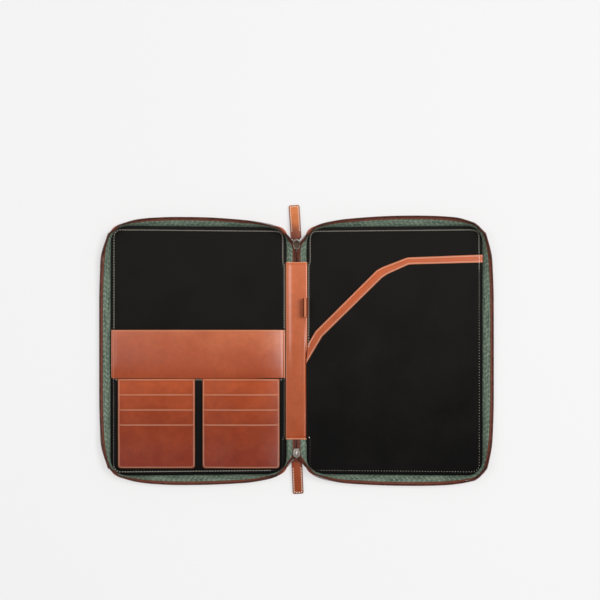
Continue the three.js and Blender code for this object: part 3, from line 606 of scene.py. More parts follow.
def easeWall(point):
    way, out = edgePlace(point.x, point.y)
    along = abs(way) / mm
    leans = rimLean[1 if point.x > 0 else -1, 1 if point.y >= 0 else -1]
    k = max(i for i, start in enumerate(rimPlaces) if along >= start)
    if k == len(rimPlaces) - 1:
        lean = leans[-1] * smooth((wallLook["end"] - along) / wallLook["fadeOut"])
    else:
        t = (along - rimPlaces[k]) / (rimPlaces[k + 1] - rimPlaces[k])
        lean = leans[k] + (leans[k + 1] - leans[k]) * smooth(t)
    share = min(1.1, max(0.0, (point.z - wallLook["foot"]) / wallLook["height"])) ** 2
    # The wall's belly is drawn in at its corners
    tuck = sum(depth * bump(along - place, wallLook["tuckWidth"]) for place, depth in wallLook["tucks"])
    tuck *= bump(point.z - wallLook["tuckUp"][0], wallLook["tuckUp"][1])
    return point + edgeOutward(point) * (lean * mm * share - tuck)


def mapWall(piece):
    layer = piece.data.uv_layers.new(name="roundAndUp")
    for loop in piece.data.loops:
        co = piece.data.vertices[loop.vertex_index].co
        way, out = edgePlace(co.x, co.y)
        layer.data[loop.index].uv = (way / mm, math.hypot(out, co.z - wallLook["foot"]) / mm)


def wallStrip(node, name, material, slot):
    piece = copyNode(node, name)
    roundEdges(piece, wallLook["edgeRound"], 2, 50)
    softenMesh(piece, 2)
    for vertex in piece.data.vertices:
        vertex.co = easeWall(vertex.co)
    shadeSmooth(piece, 50)
    mapWall(piece)
    return finishPiece(piece, material, slot, node)


for side in ("right", "left"):
    gusset = wallStrip(f"gusset_{side}", f"wallLeather_{side}", coverLeather, "tan_leather")
    markEdge(gusset, lambda co: farFromEdge)
    wallStrip(f"zip_tape_{side}", f"zipTape_{side}", tapeCloth, "brown_zip_tape")
    wallStrip(f"lining_{side}", f"wallLining_{side}", liningCloth, "green_lining")
print("walls made")

# The zip coil: one turn of monofilament, repeated round the rim over a thin core
coilLook = {
    "pitch": 1.45 * mm, "wire": 0.52 * mm, "width": 2.5 * mm, "height": 1.9 * mm, "slant": 0.22,
    "tapeEdge": (-2.5 * mm, -1.2 * mm, 0.1 * mm), "core": 0.3 * mm, "cornerWidth": 1.6, "cornerTurn": 0.75,
    "cornerIn": 0.2 * mm, "spineOut": 0.5 * mm,
}


def coilTurn():
    thin = 0.24  # the ring's own wire, as a share of its radius
    bpy.ops.mesh.primitive_torus_add(
        major_segments=12, minor_segments=5, major_radius=1.0, minor_radius=thin,
        rotation=(0, math.radians(90), 0))
    turn = bpy.context.active_object
    bpy.ops.object.transform_apply(location=False, rotation=True, scale=False)
    across = coilLook["width"] / 2 / (1 + thin)
    deep = coilLook["height"] / 2 / (1 + thin)
    for vertex in turn.data.vertices:
        x, y, z = vertex.co
        along = x * coilLook["wire"] / thin + coilLook["slant"] * z * deep
        vertex.co = Vector((along, y * across, z * deep))
    return turn


# The rim's own sections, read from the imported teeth: the middle of each and the way out to its edge
def rimSections(node):
    points = {}
    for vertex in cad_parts[node].data.vertices:
        points[tuple(round(c / (0.02 * mm)) for c in vertex.co)] = vertex.co.copy()
    placed = sorted(((edgePlace(p.x, p.y), p) for p in points.values()), key=lambda item: item[0][0])
    groups = [[placed[0]]]
    for before, item in zip(placed, placed[1:]):
        if item[0][0] - before[0][0] > 0.8 * mm:
            groups.append([])
        groups[-1].append(item)
    sections = []
    for group in groups:
        ranked = sorted((math.hypot(out, p.z - wallLook["foot"]), tuple(p)) for (way, out), p in group)
        half = len(ranked) // 2
        inner = sum((Vector(p) for _, p in ranked[:half]), Vector()) / half
        rim = sum((Vector(p) for _, p in ranked[half:]), Vector()) / (len(ranked) - half)
        sections.append((easeWall((inner + rim) / 2), (rim - inner).normalized()))
    return sections


def smoothRim(sections, fineness):
    middles = [Vector(s[0]) for s in sections]
    ways = [Vector(s[1]) for s in sections]

    def between(row, i, t):
        a, b = row[i], row[i + 1]
        before = row[i - 1] if i else a * 2 - b
        after = row[i + 2] if i + 2 < len(row) else b * 2 - a
        return 0.5 * (2 * a + (b - before) * t + (2 * before - 5 * a + 4 * b - after) * t * t
                      + (3 * a - before - 3 * b + after) * t ** 3)

    fine = []
    for i in range(len(middles) - 1):
        for k in range(fineness):
            t = k / fineness
            fine.append((between(middles, i, t), between(ways, i, t).normalized()))
    fine.append((middles[-1], ways[-1]))
    return fine


# How far the coil's band is turned flat: fully at the outer corners and by the spine
def bandTurn(point):
    way = abs(edgePlace(point.x, point.y)[0])
    outer = bump(way - outerRound.y - cornerRadius * 0.8, 15 * mm)
    towardsSpine = outerRound.y + cornerRadius * 2.4 + outerRound.x - spineRound.x - 34 * mm
    return max(outer, smooth((way - towardsSpine) / (20 * mm)))


def rimFrames(fine, pitch):
    places = np.array([p[0][:] for p in fine])
    far = np.concatenate([[0], np.cumsum(np.linalg.norm(np.diff(places, axis=0), axis=1))])
    count = round(far[-1] / pitch)
    frames = []
    for i in range(count):
        here = (i + 0.5) * far[-1] / count
        k = min(len(fine) - 2, int(np.searchsorted(far, here, side="right")) - 1)
        share = (here - far[k]) / (far[k + 1] - far[k])
        middle = fine[k][0].lerp(fine[k + 1][0], share)
        across = fine[k][1].lerp(fine[k + 1][1], share).normalized()
        along = (fine[k + 1][0] - fine[k][0]).normalized()
        turned = bandTurn(middle)
        outward = edgeOutward(middle)
        across = across.lerp(outward, coilLook["cornerTurn"] * turned).normalized()
        aside = -coilLook["cornerIn"]
        if abs(middle.x) < middleOfHalf:
            out = edgePlace(middle.x, middle.y)[1]
            onTail = abs(middle.x) < 12 * mm and smooth((out - 6 * mm) / (8 * mm))
            aside = coilLook["spineOut"] * (1 - 0.2 * onTail)
        middle = middle + outward * aside * turned
        up = along.cross(across).normalized()
        across = up.cross(along) * (1 + (coilLook["cornerWidth"] - 1) * turned)
        frames.append(Matrix.Translation(middle) @ Matrix((along, across, up)).transposed().to_4x4())
    return frames


oneTurn = coilTurn()
for side in ("right", "left"):
    node = f"zip_teeth_{side}"
    frames = rimFrames(smoothRim(rimSections(node), 16), coilLook["pitch"])
    coil = repeatShape(f"zipCoil_{side}", oneTurn, frames)
    edge = smoothRim(rimSections(node), 4)
    tapeEdge = sheetFrom(f"zipTapeEdge_{side}", range(len(edge)), coilLook["tapeEdge"],
                         lambda i, across: edge[i][0] + edge[i][1] * across)
    applyModifier(tapeEdge, "SOLIDIFY", thickness=0.7 * mm, offset=0)
    shadeSmooth(tapeEdge, 50)
    mapWall(tapeEdge)
    finishPiece(tapeEdge, tapeCloth, "brown_zip_tape")
    core = copyNode(node, f"coilCore_{side}")
    for vertex in core.data.vertices:
        vertex.co = easeWall(vertex.co)
    editAll(core)
    bpy.ops.transform.shrink_fatten(value=-coilLook["core"])
    leaveEdit()
    softenMesh(core, 1)
    pickOnly(coil, core)
    bpy.ops.object.join()
    finishPiece(coil, coilPlastic, "brown_zip_teeth", node)
    print("zip coil", side, len(frames), "turns")
bpy.data.objects.remove(oneTurn)

# The pockets' sheets, which follow the panel's lower edge up to their mouths
sheetLook = {
    "inset": 0.9 * mm, "thickness": 1.0 * mm, "edgeRound": 0.3 * mm, "seamDip": 0.22 * mm,
    "border": 3.7 * mm, "rowsIn": 0.9 * mm, "outerRoll": 8 * mm, "spineRoll": 40 * mm, "mouth": 16 * mm,
    "lift": 1.0 * mm,
}


def borderDistance(x, y):
    return -edgePlace(x, y)[1] - sheetLook["inset"]


# The right pocket's edge lies over the spine's leather, from below the trim to the end of the spine
overlap = {"reach": 2.4 * mm, "from": 12 * mm, "to": -117 * mm, "raise": 0.75 * mm}


def overSpine(y):
    return smooth((overlap["from"] - y) / (18 * mm)) * smooth((y - overlap["to"]) / (1.5 * mm))


# How far a pocket's mouth stands open in its middle, fading downwards
def mouthRise(x, y, top, lift, fade):
    across = math.sin(math.pi * min(1, max(0, (x - spineHalf) / (outerEdge - spineHalf))))
    return lift * across * smooth((y - top + fade) / fade)


def pocketSheet(name, side, box, mouth, lift, fade, roll, foot, over=0):
    low = box[0]
    inset = sheetLook["inset"]
    thickness = sheetLook["thickness"]
    depth = sheetLook["mouth"]  # the rows keep their distance from the mouth down to here
    columns = edgeSteps(spineHalf + inset, outerEdge - inset)

    def place(x, row):
        lowest = -edgeHeight(x, inset)
        top = mouth(x)
        y = top - row if row <= depth else lowest + (top - depth - lowest) * (1 - (row - depth))
        rolled = smooth((y - foot) / (6 * mm))
        outerShare = 1 - min(1, (outerEdge - inset - x) / sheetLook["outerRoll"])
        spineShare = 1 - min(1, (x - spineHalf - inset) / sheetLook["spineRoll"])
        rise = mouthRise(x, y, top, lift, fade)
        rise += rolled * (max(roll) - roll[0] * outerShare ** 2 - roll[1] * spineShare ** 2)
        dip = sheetLook["seamDip"] * bump(borderDistance(x, y) + inset - sheetLook["border"], 1.1 * mm)
        nearSpine = smooth(1 - (x - spineHalf - inset) / (6 * mm)) * overSpine(y) * over
        flat = x - overlap["reach"] * nearSpine
        return Vector((side * flat, y, low.z + thickness + rise - dip + overlap["raise"] * nearSpine))

    rows = [d * mm for d in nearEdge] + [depth + share / 16 for share in range(1, 15)]
    rows += [depth + share for share in (0.93, 0.96, 0.98, 0.99, 1.0)]
    piece = sheetFrom(name, columns, rows, place)
    thicken(piece, thickness)
    roundEdges(piece, sheetLook["edgeRound"], 2, 50)
    shadeSmooth(piece, 45)
    markEdge(piece, lambda co: min(borderDistance(abs(co.x), co.y), mouth(abs(co.x)) - co.y))
    return piece


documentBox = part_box("document_pocket")
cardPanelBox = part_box("card_panel")
documentPocket = pocketSheet("documentPocket", -1, documentBox, lambda x: documentBox[1].y,
                             sheetLook["lift"], 63 * mm, (0.7 * mm, 3.3 * mm), cardPanelBox[1].y)
finishPiece(documentPocket, documentLeather, "tan_leather", "document_pocket")
cardPanel = pocketSheet("cardPanel", -1, cardPanelBox, lambda x: cardPanelBox[1].y, 0.0, 20 * mm, (0, 0), 0)
finishPiece(cardPanel, panelNubuck, "black_suede", "card_panel")
print("document pocket and card panel made")

# The slanting mouth of the right pocket, as shares of the panel's width and of half its height
trimLook = {
    "width": 10.9 * mm, "thickness": 1.0 * mm, "packed": 1.1 * mm, "gap": 0.3 * mm, "crown": 0.3 * mm,
    "stitchIn": 1.5 * mm, "tipUpper": 14.9 * mm, "tipLower": 12.9 * mm, "dent": 0.5 * mm, "dentAt": 229 * mm,
}
trimCorners = [
    {"across": 0.0, "up": -0.02, "width": 1.0},
    {"across": 0.066, "up": 0.136, "width": 1.0},
    {"across": 0.411, "up": 0.615, "width": 1.08},
    {"across": 0.444, "up": 0.643, "width": 1.0},
    {"across": 0.576, "up": 0.72, "width": 0.82},
    {"across": 1.0, "up": 0.74, "width": 0.92},
]


def trimPath():
    steps = 10
    across = outerEdge - spineHalf
    corners = [(Vector((spineHalf + c["across"] * across, c["up"] * panelHigh.y)),
                c["width"] * trimLook["width"]) for c in trimCorners]
    ways = []
    for i, (point, width) in enumerate(corners):
        before = (point - corners[i - 1][0]).normalized() if i else None
        after = (corners[i + 1][0] - point).normalized() if i + 1 < len(corners) else None
        if before and after:
            run = (before + after).normalized()
            stretch = 1 / math.sqrt((1 + before.dot(after)) / 2)
            ways.append(Vector((-run.y, run.x)) * stretch)
        else:
            run = before or after
            ways.append(Vector((0, 1 / abs(run.x))))
    path = []
    for i in range(len(corners) - 1):
        for k in range(steps + (i == len(corners) - 2)):
            t = k / steps
            path.append((corners[i][0].lerp(corners[i + 1][0], t), ways[i].lerp(ways[i + 1], t),
                         corners[i][1] + (corners[i + 1][1] - corners[i][1]) * t))
    end = path[-1]
    path[-1] = (end[0] + Vector((0.6 * mm, 0)), end[1], end[2])
    # The lower end is cut to a slanting tip, which lies over the edge of the spine's leather
    start, width = corners[0]
    run = (corners[1][0] - start).normalized()
    tips = []
    for sign, x in ((1, trimLook["tipUpper"]), (-1, trimLook["tipLower"])):
        beside = start + Vector((-run.y, run.x)) * (sign * width / 2)
        tips.append(beside + run * ((x - beside.x) / run.x))
    path[0] = ((tips[0] + tips[1]) / 2, (tips[0] - tips[1]) / width, width)
    return path


trimLine = trimPath()


def besideTrim(x, side, taken):
    row = [p + w * (side * width / 2 - taken) for p, w, width in trimLine]
    for a, b in zip(row, row[1:]):
        if x <= b.x or b is row[-1]:
            return a.y + (b.y - a.y) * (x - a.x) / (b.x - a.x)


def tabletMouth(x):
    return besideTrim(x, 1, 1.5 * mm)


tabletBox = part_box("tablet_pocket")
tabletPocket = pocketSheet("tabletPocket", 1, tabletBox, tabletMouth, sheetLook["lift"], panelHigh.y / 2,
                           (0, 0), 0, over=1)
finishPiece(tabletPocket, panelNubuck, "black_suede", "tablet_pocket")


def makeTrim():
    low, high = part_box("pocket_trim")
    top = tabletBox[0].z + sheetLook["thickness"] + trimLook["gap"] + trimLook["packed"]
    profile = [(-0.5, -0.35), (-0.485, -0.12), (-0.44, 0), (-0.38, 0.1), (-0.32, 0.2), (-0.2, 0.7), (0, 1),
               (0.2, 0.7), (0.32, 0.2), (0.38, 0.1), (0.44, 0), (0.485, -0.12), (0.5, -0.35), (0.5, -7)]

    def place(station, number):
        point, way, width = trimLine[station]
        offset, height = profile[number]
        flat = point + way * (offset * width)
        mouth = tabletMouth(flat.x)
        rise = mouthRise(flat.x, min(flat.y, mouth), mouth, sheetLook["lift"], panelHigh.y / 2)
        dent = trimLook["dent"] * smooth((flat.x - trimLook["dentAt"] + 4 * mm) / (8 * mm))
        z = top + rise - dent + height * trimLook["crown"]
        return Vector((flat.x, flat.y, max(low.z + 0.2 * mm, z)))

    piece = sheetFrom("pocketTrim", list(range(len(trimLine))), list(range(len(profile))), place)
    thicken(piece, trimLook["thickness"])
    roundEdges(piece, 0.2 * mm, 2, 60)
    shadeSmooth(piece, 50)
    markEdge(piece, lambda co: 0.8 * min(besideTrim(co.x, 1, 0) - co.y, co.y - besideTrim(co.x, -1, 0)))
    return finishPiece(piece, trimLeather, "tan_leather", "pocket_trim")


pocketTrim = makeTrim()
print("tablet pocket and trim made")

# The card slots: shingled strips, each with a folded mouth that stands a little open
slotLook = {"thickness": 1.0 * mm, "ramp": 24.9 * mm, "step": 1.3 * mm, "open": 0.35 * mm, "corner": 3 * mm,
            "stitchIn": 1.35 * mm, "roll": {"inner": 2.8 * mm, "outer": 0.5 * mm}, "rollRight": 36 * mm,
            "rollLeft": 50 * mm}


def cardSlot(node, name, isFront, roll):
    low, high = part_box(node)
    columns = edgeSteps(low.x, high.x, widest=9)
    rows = edgeSteps(low.y, high.y, widest=9)
    corner = slotLook["corner"] if isFront else 0

    def place(x, y):
        inward = min(x - low.x, high.x - x)
        away = max(0, corner - inward)
        foot = low.y + corner - math.sqrt(max(0, corner ** 2 - away ** 2))
        y = max(y, foot) if isFront else y
        linear = min(1, max(0, (y - high.y + slotLook["ramp"]) / slotLook["ramp"]))
        across = math.sin(math.pi * (x - low.x) / (high.x - low.x))
        lift = slotLook["open"] * across * smooth(1 - (high.y - y) / (9 * mm))
        dip = 0.2 * mm * max(bump(inward - slotLook["stitchIn"], 0.8 * mm),
                             bump(y - low.y - slotLook["stitchIn"], 0.8 * mm) if isFront else 0)
        pillow = roll * (1 - (1 - min(1, (high.x - x) / slotLook["rollRight"])) ** 2)
        pillow *= smooth((x - low.x) / slotLook["rollLeft"])
        rise = slotLook["step"] * linear + lift + pillow - dip
        return Vector((x, y, low.z + slotLook["thickness"] + rise))

    piece = sheetFrom(name, columns, rows, place)
    editAll(piece)
    bpy.ops.mesh.remove_doubles(threshold=0.01 * mm)
    leaveEdit()
    thicken(piece, slotLook["thickness"])
    roundEdges(piece, 0.3 * mm, 2, 50)
    shadeSmooth(piece, 45)
    markEdge(piece, lambda co: min(co.x - low.x, high.x - co.x, high.y - co.y,
                                   co.y - low.y if isFront else 1))
    return finishPiece(piece, cardLeather, "tan_leather", node)


cardSlots = {}
for bank in ("inner", "outer"):
    roll = slotLook["roll"][bank]
    cardSlots[bank] = [cardSlot(f"card_slot_{bank}_{i}", f"cardSlot_{bank}_{i}", i == 4, roll)
                       for i in range(1, 5)]
print("card slots made")

# The spine's inner leather: a long strip with a soft swell over each seam and a hem at each end
spineLook = {"thickness": 1.2 * mm, "ridge": 0.7 * mm, "hem": 2.6 * mm, "hemDip": 0.45 * mm,
             "sideDrop": 2.6 * mm, "under": 0.9 * mm,
             "columns": (0.18, 0.36, 0.5, 0.6, 0.66, 0.72, 0.76, 0.8, 0.85, 0.9, 0.97)}


def makeSpinePanel():
    low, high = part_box("spine_panel")
    half = high.x
    top = high.z - 0.6 * mm
    inner = spineLook["columns"]
    columns = sorted([0, *inner, 1, 2, *[-share for share in inner], -1, -2])  # 2 is the drop at the side
    rows = edgeSteps(low.y, high.y, widest=9)

    def place(column, y):
        end = min(y - low.y, high.y - y)
        dip = spineLook["hemDip"] * bump(end - spineLook["hem"], 0.7 * mm)
        if abs(column) == 2:
            bottom = spineLook["sideDrop"] if end > 14 * mm else top - 3 * mm
            return Vector((math.copysign(half, column), y, bottom))
        share = abs(column)
        if column < 0:
            swell = spineLook["ridge"] * smooth((share - 0.4) / 0.4) * smooth((1 - share) / 0.2)
            swell *= 0.3 + 0.7 * smooth((y + 30 * mm) / (60 * mm))
        else:
            swell = spineLook["ridge"] * smooth(share / 0.68) * smooth((1 - share) / 0.32)
            swell *= 0.1 + 0.9 * smooth((40 * mm - y) / (30 * mm)) * smooth((y + 85 * mm) / (50 * mm))
        fall = 0.5 * mm if share == 1 else 0.12 * mm if share > 0.95 else 0
        lean = 0.15 * mm * noise.noise(Vector((column * 1.5, y / (30 * mm), 0)))
        under = spineLook["under"] * overSpine(y) * smooth((column * half - 10.2 * mm) / (2.4 * mm))
        return Vector((column * half, y, top + swell + lean - dip - fall - under))

    piece = sheetFrom("spineInnerLeather", columns, rows, place)
    thicken(piece, spineLook["thickness"])
    roundEdges(piece, 0.3 * mm, 2, 50)
    shadeSmooth(piece, 50)
    markEdge(piece, lambda co: min(half - abs(co.x), (co.y - low.y) * 0.45, high.y - co.y))
    return finishPiece(piece, spineLeather, "tan_leather", "spine_panel")


makeSpinePanel()

# The pen loop: a strip bent round and sewn into the spine's right-hand seam
penLoop = copyNode("pen_loop", "penLoop")
roundEdges(penLoop, 0.25 * mm, 2, 60)
softenMesh(penLoop, 1)
shadeSmooth(penLoop, 50)
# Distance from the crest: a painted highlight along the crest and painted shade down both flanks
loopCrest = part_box("pen_loop")[0].x + 2.9 * mm
markEdge(penLoop, lambda co: min(2.3 * mm, abs(co.x - loopCrest) * 1.5))
finishPiece(penLoop, loopLeather, "tan_leather", "pen_loop")
print("spine leather and pen loop made")

# The zip's pulls
tabLook = {"yaw": {"top": 3.9, "bottom": 2.6}, "width": 14.4 * mm, "length": 42.5 * mm, "stitchIn": 1.9 * mm,
           "reach": {"top": 2.8 * mm, "bottom": 1.6 * mm},
           "fold": {"top": (-0.3 * mm, 147.6 * mm, 5.2 * mm), "bottom": (0.3 * mm, -143.6 * mm, 4.4 * mm)},
           "foldSize": (9.4 * mm, 5.6 * mm, 2.4 * mm),
           "insets": ((1.1 * mm, 0), (0.5 * mm, -0.2 * mm), (0.6 * mm, 0.2 * mm))}


# How far inside the tab's own outline a point lies
def tabInside(box, yaw, point):
    middle = (box[0] + box[1]) / 2
    turn = math.radians(yaw)
    across = (point.x - middle.x) * math.cos(turn) + (point.y - middle.y) * math.sin(turn)
    along = -(point.x - middle.x) * math.sin(turn) + (point.y - middle.y) * math.cos(turn)
    return min(tabLook["width"] / 2 - abs(across), tabLook["length"] / 2 - abs(along))


# The crown's rim and recess, and the band of heights, from the crown's top, whose faces get the darker metal
# as painted shade
sliderLook = {
    "top": {"ring": 0.7 * mm, "deep": 0.6 * mm, "shaded": (-0.9 * mm, 0.1 * mm)},
    "bottom": {"ring": 0.7 * mm, "deep": 0.4 * mm, "shaded": (-12 * mm, -2.5 * mm), "move": 2 * mm,
               "keel": (1.5 * mm, 8.4 * mm, 1.5 * mm)},
}


def makeSlider(end):
    look = sliderLook[end]
    slider = copyNode(f"slider_{end}", f"slider_{end}Metal")
    dissolveFlats(slider)
    for vertex in slider.data.vertices:
        vertex.co.y += look.get("move", 0)
    crown = 30 * mm * mm  # its face is larger than this
    top = max(face.center.z for face in slider.data.polygons if face.normal.z > 0.7 and face.area > crown)
    pickFaces(slider, lambda face: face.normal.z > 0.7 and face.calc_area() > crown
              and face.calc_center_median().z > top - 0.5 * mm)
    bpy.ops.mesh.inset(thickness=look["ring"], depth=0)
    bpy.ops.mesh.inset(thickness=0.25 * mm, depth=-look["deep"])
    leaveEdit()
    if "keel" in look:
        middle = sum((v.co for v in slider.data.vertices), Vector()) / len(slider.data.vertices)
        joinCube(slider, look["keel"], (middle.x, middle.y, top - 0.2 * mm))
    roundEdges(slider, 0.22 * mm, 2, 35)
    shadeSmooth(slider, 50)
    finishPiece(slider, sliderMetal, "slider_metal", f"slider_{end}")
    slider.data.materials.append(sliderShade)
    # Faces in the shaded band take the darker copy of the metal: painted shade
    for face in slider.data.polygons:
        face.material_index = int(look["shaded"][0] < face.center.z - top < look["shaded"][1])


def makeRing(end):
    ring = copyNode(f"pull_ring_{end}", f"pullRing_{end}")
    dissolveFlats(ring)
    roundEdges(ring, 0.35 * mm, 3, 50)
    shadeSmooth(ring, 60)
    # The ring takes the darker copy of the metal: painted shade between slider and tab
    finishPiece(ring, sliderShade, "slider_metal", f"pull_ring_{end}")


def makeTab(end):
    tab = copyNode(f"pull_tab_{end}", f"pullTab_{end}")
    dissolveFlats(tab)
    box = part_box(f"pull_tab_{end}")
    inward = -1 if end == "top" else 1
    near = box[0].y if end == "top" else box[1].y
    for vertex in tab.data.vertices:
        if abs(vertex.co.y - near) < 5 * mm:
            vertex.co.y += inward * tabLook["reach"][end]
    pickFaces(tab, lambda face: abs(face.normal.z) > 0.9 and face.calc_area() > 400 * mm * mm)
    for width, rise in tabLook["insets"]:
        bpy.ops.mesh.inset(thickness=width, depth=rise, use_even_offset=True)
    leaveEdit()
    joinCube(tab, tabLook["foldSize"], tabLook["fold"][end])  # where the leather turns round the ring
    roundEdges(tab, 0.5 * mm, 3, 50)
    shadeSmooth(tab, 50)
    markEdge(tab, lambda co: tabInside(box, tabLook["yaw"][end], co) * 0.75)
    return finishPiece(tab, tabLeather, "tan_leather", f"pull_tab_{end}")


pullTabs = {}
for end in ("top", "bottom"):
    makeSlider(end)
    makeRing(end)
    pullTabs[end] = makeTab(end)
print("sliders, rings and pull tabs made")

# Stitching: one short thread, laid along every seam on whatever leather lies below it
threadLook = {"pitch": 3.6 * mm, "length": 1.5 * mm, "width": 0.9 * mm, "height": 0.6 * mm, "slant": 28,
              "hole": (0.36 * mm, 0.32 * mm, 0.08 * mm)}


def oneStitch():
    bpy.ops.mesh.primitive_uv_sphere_add(segments=8, ring_count=6, radius=1,
                                         rotation=(0, math.radians(90), 0))
    stitch = bpy.context.active_object
    bpy.ops.object.transform_apply(location=False, rotation=True, scale=False)
    for vertex in stitch.data.vertices:
        x, y, z = vertex.co
        full = (1 - min(1, abs(x)) ** 3) ** 0.5 if abs(x) < 1 else 0
        keep = math.hypot(y, z) or 1
        vertex.co = Vector((x * threadLook["length"] / 2, y / keep * full * threadLook["width"] / 2,
                            z / keep * full * threadLook["height"] / 2))
    return stitch


# A small dark dot between stitches: painted shade for the needle hole
def oneHole():
    bpy.ops.mesh.primitive_uv_sphere_add(segments=6, ring_count=4, radius=1)
    hole = bpy.context.active_object
    hole.scale = threadLook["hole"]
    bpy.ops.object.transform_apply(location=False, rotation=False, scale=True)
    return hole


stitchShape = oneStitch()
holeShape = oneHole()


def fromAbove(x, y):
    return Vector((x, y, 0.1)), Vector((0, 0, -1))


def fromOutside(x, y):
    outward = edgeOutward(Vector((x, y, 0)))
    return Vector((x, y, wallLook["seamUp"])) + outward * 40 * mm, -outward


def seamFrames(routes, surface, pitch, size, shift, slant, keep, ray):
    frames = []
    for route in routes:
        for place, way in walkRoute(route, pitch):
            place = place + way * shift
            if not keep(place[0], place[1]):
                continue
            hit, normal, _, _ = surface.ray_cast(*ray(place[0], place[1]))
            if hit is None:
                continue
            along = Vector((way[0], way[1], 0))
            along = (along - normal * along.dot(normal)).normalized()
            turned = Matrix.Rotation(math.radians(slant), 3, normal) @ along
            side = normal.cross(turned)
            axes = Matrix((turned * size, side * size, normal * size)).transposed().to_4x4()
            frames.append(Matrix.Translation(hit) @ axes)
    return frames


def sewRows(name, routes, surface, pitch=threadLook["pitch"], size=1.0, thread=creamThread,
            keep=lambda x, y: True, ray=fromAbove):
    frames = seamFrames(routes, surface, pitch, size, 0, threadLook["slant"], keep, ray)
    piece = repeatShape(name, stitchShape, frames)
    piece.data.materials.append(thread)
    between = seamFrames(routes, surface, pitch, size, pitch / 2, 0, keep, ray)
    holes = repeatShape(name + "Holes", holeShape, between)
    holes.data.materials.append(holeDark)
    pickOnly(piece, holes)
    bpy.ops.object.join()
    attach(piece, "root")
    print(name, len(frames), "stitches")
    return piece


def arc(centre, radius, start, end, steps=10):
    return [(centre[0] + radius * math.cos(math.radians(start + (end - start) * i / steps)),
             centre[1] + radius * math.sin(math.radians(start + (end - start) * i / steps)))
            for i in range(steps + 1)]


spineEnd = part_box("spine_panel")[1].y


# Round a panel, stepping out beside the spine where the spine's leather is sewn in
def borderRoute(side):
    inset = sheetLook["border"]
    radius = cornerRadius - inset
    rowsIn = Vector((0, sheetLook["rowsIn"]))  # the top and bottom rows lie further in than the sides
    besideSpine = spineHalf + 1.9 * mm
    upper = [(besideSpine, 0), (besideSpine, spineEnd - 4 * mm), (spineHalf + inset, spineEnd)]
    upper += arc(spineRound - rowsIn, radius, 180, 90)
    upper += arc(outerRound - rowsIn, radius, 90, 0)
    route = upper + [(x, -y) for x, y in reversed(upper)]
    return [(side * x, y) for x, y in route]


def bankRoutes(bank):
    boxes = [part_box(f"card_slot_{bank}_{i}") for i in range(1, 5)]
    inside = slotLook["stitchIn"]
    left, right = boxes[0][0].x + inside, boxes[0][1].x - inside
    top, bottom = boxes[0][1].y - inside, boxes[3][0].y + inside
    turn = slotLook["corner"]
    route = [(left, top)] + arc((left + turn, bottom + turn), turn, 180, 270, 4)
    route += arc((right - turn, bottom + turn), turn, 270, 360, 4) + [(right, top)]
    mouths = [[(left + 2 * mm, high.y - inside), (right - 2 * mm, high.y - inside)] for low, high in boxes]
    return [route] + mouths


rightSurface = surfaceOf(panelRight, tabletPocket, pocketTrim)
leftSurface = surfaceOf(panelLeft, documentPocket, cardPanel)
trimRows = [[tuple(p + w * (sign * (width / 2 - trimLook["stitchIn"]))) for p, w, width in trimLine]
            for sign in (1, -1)]
whole = borderRoute(1)
upperRight = [p for p in whole[: len(whole) // 2 + 1] if p[1] >= 0]
lowerRight = [(x, -y) for x, y in reversed(upperRight) if y > spineEnd - 5 * mm]
upperRight[0] = (upperRight[0][0], 4 * mm)
rightRoute = [upperRight + lowerRight]


# The lowest stitches beside the spine, which are sewn smaller in the darker thread as painted shade
def inShadedCorner(x, y):
    return y < -spineEnd and abs(x) < spineHalf + 17 * mm


def belowTrim(x, y):
    return y < 108 * mm and x > spineHalf + 17 * mm


sewRows("stitchesRightUpper", rightRoute, rightSurface,
        keep=lambda x, y: not inShadedCorner(x, y) and not belowTrim(x, y))
sewRows("stitchesRightLower", rightRoute, rightSurface, size=0.85, thread=greyThread,
        keep=lambda x, y: belowTrim(x, y) and not inShadedCorner(x, y))
sewRows("stitchesRightPaintedShade", rightRoute, rightSurface, size=0.7, thread=shadedThread, keep=inShadedCorner)
sewRows("stitchesTrim", trimRows, rightSurface, 2.9 * mm, 0.85)
mouthY = documentBox[1].y - 2.2 * mm
mouthRow = [(-outerEdge + 3.6 * mm, mouthY), (-spineHalf - 1.9 * mm, mouthY)]
leftRoutes = [borderRoute(-1), mouthRow]


def onPocket(x, y):
    return cardPanelBox[1].y < y < documentBox[1].y


def besideCards(x, y):
    return -150 * mm < y < cardPanelBox[1].y


sewRows("stitchesLeftBorder", leftRoutes, leftSurface,
        keep=lambda x, y: not onPocket(x, y) and not inShadedCorner(x, y) and not besideCards(x, y))
sewRows("stitchesBesideCards", leftRoutes, leftSurface, size=0.85, thread=greyThread,
        keep=lambda x, y: besideCards(x, y) and not inShadedCorner(x, y))
sewRows("stitchesDocument", leftRoutes, leftSurface, 3.1 * mm, 0.75, tanThread, onPocket)
sewRows("stitchesLeftPaintedShade", leftRoutes, leftSurface, size=0.7, thread=shadedThread, keep=inShadedCorner)
outerBank, innerBank = [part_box(f"card_slot_{bank}_1") for bank in ("outer", "inner")]
panelRow = cardPanelBox[1].y - 2.4 * mm
gaps = [(-outerEdge + 4.5 * mm, outerBank[0].x), (outerBank[1].x, innerBank[0].x),
        (innerBank[1].x, -spineHalf - 3 * mm)]
sewRows("stitchesCardPanel", [[(a + 0.3 * mm, panelRow), (b - 0.3 * mm, panelRow)] for a, b in gaps],
        leftSurface)
for bank in ("inner", "outer"):
    sewRows(f"stitchesCards_{bank}", bankRoutes(bank), surfaceOf(*cardSlots[bank]), 2.8 * mm, 0.7)
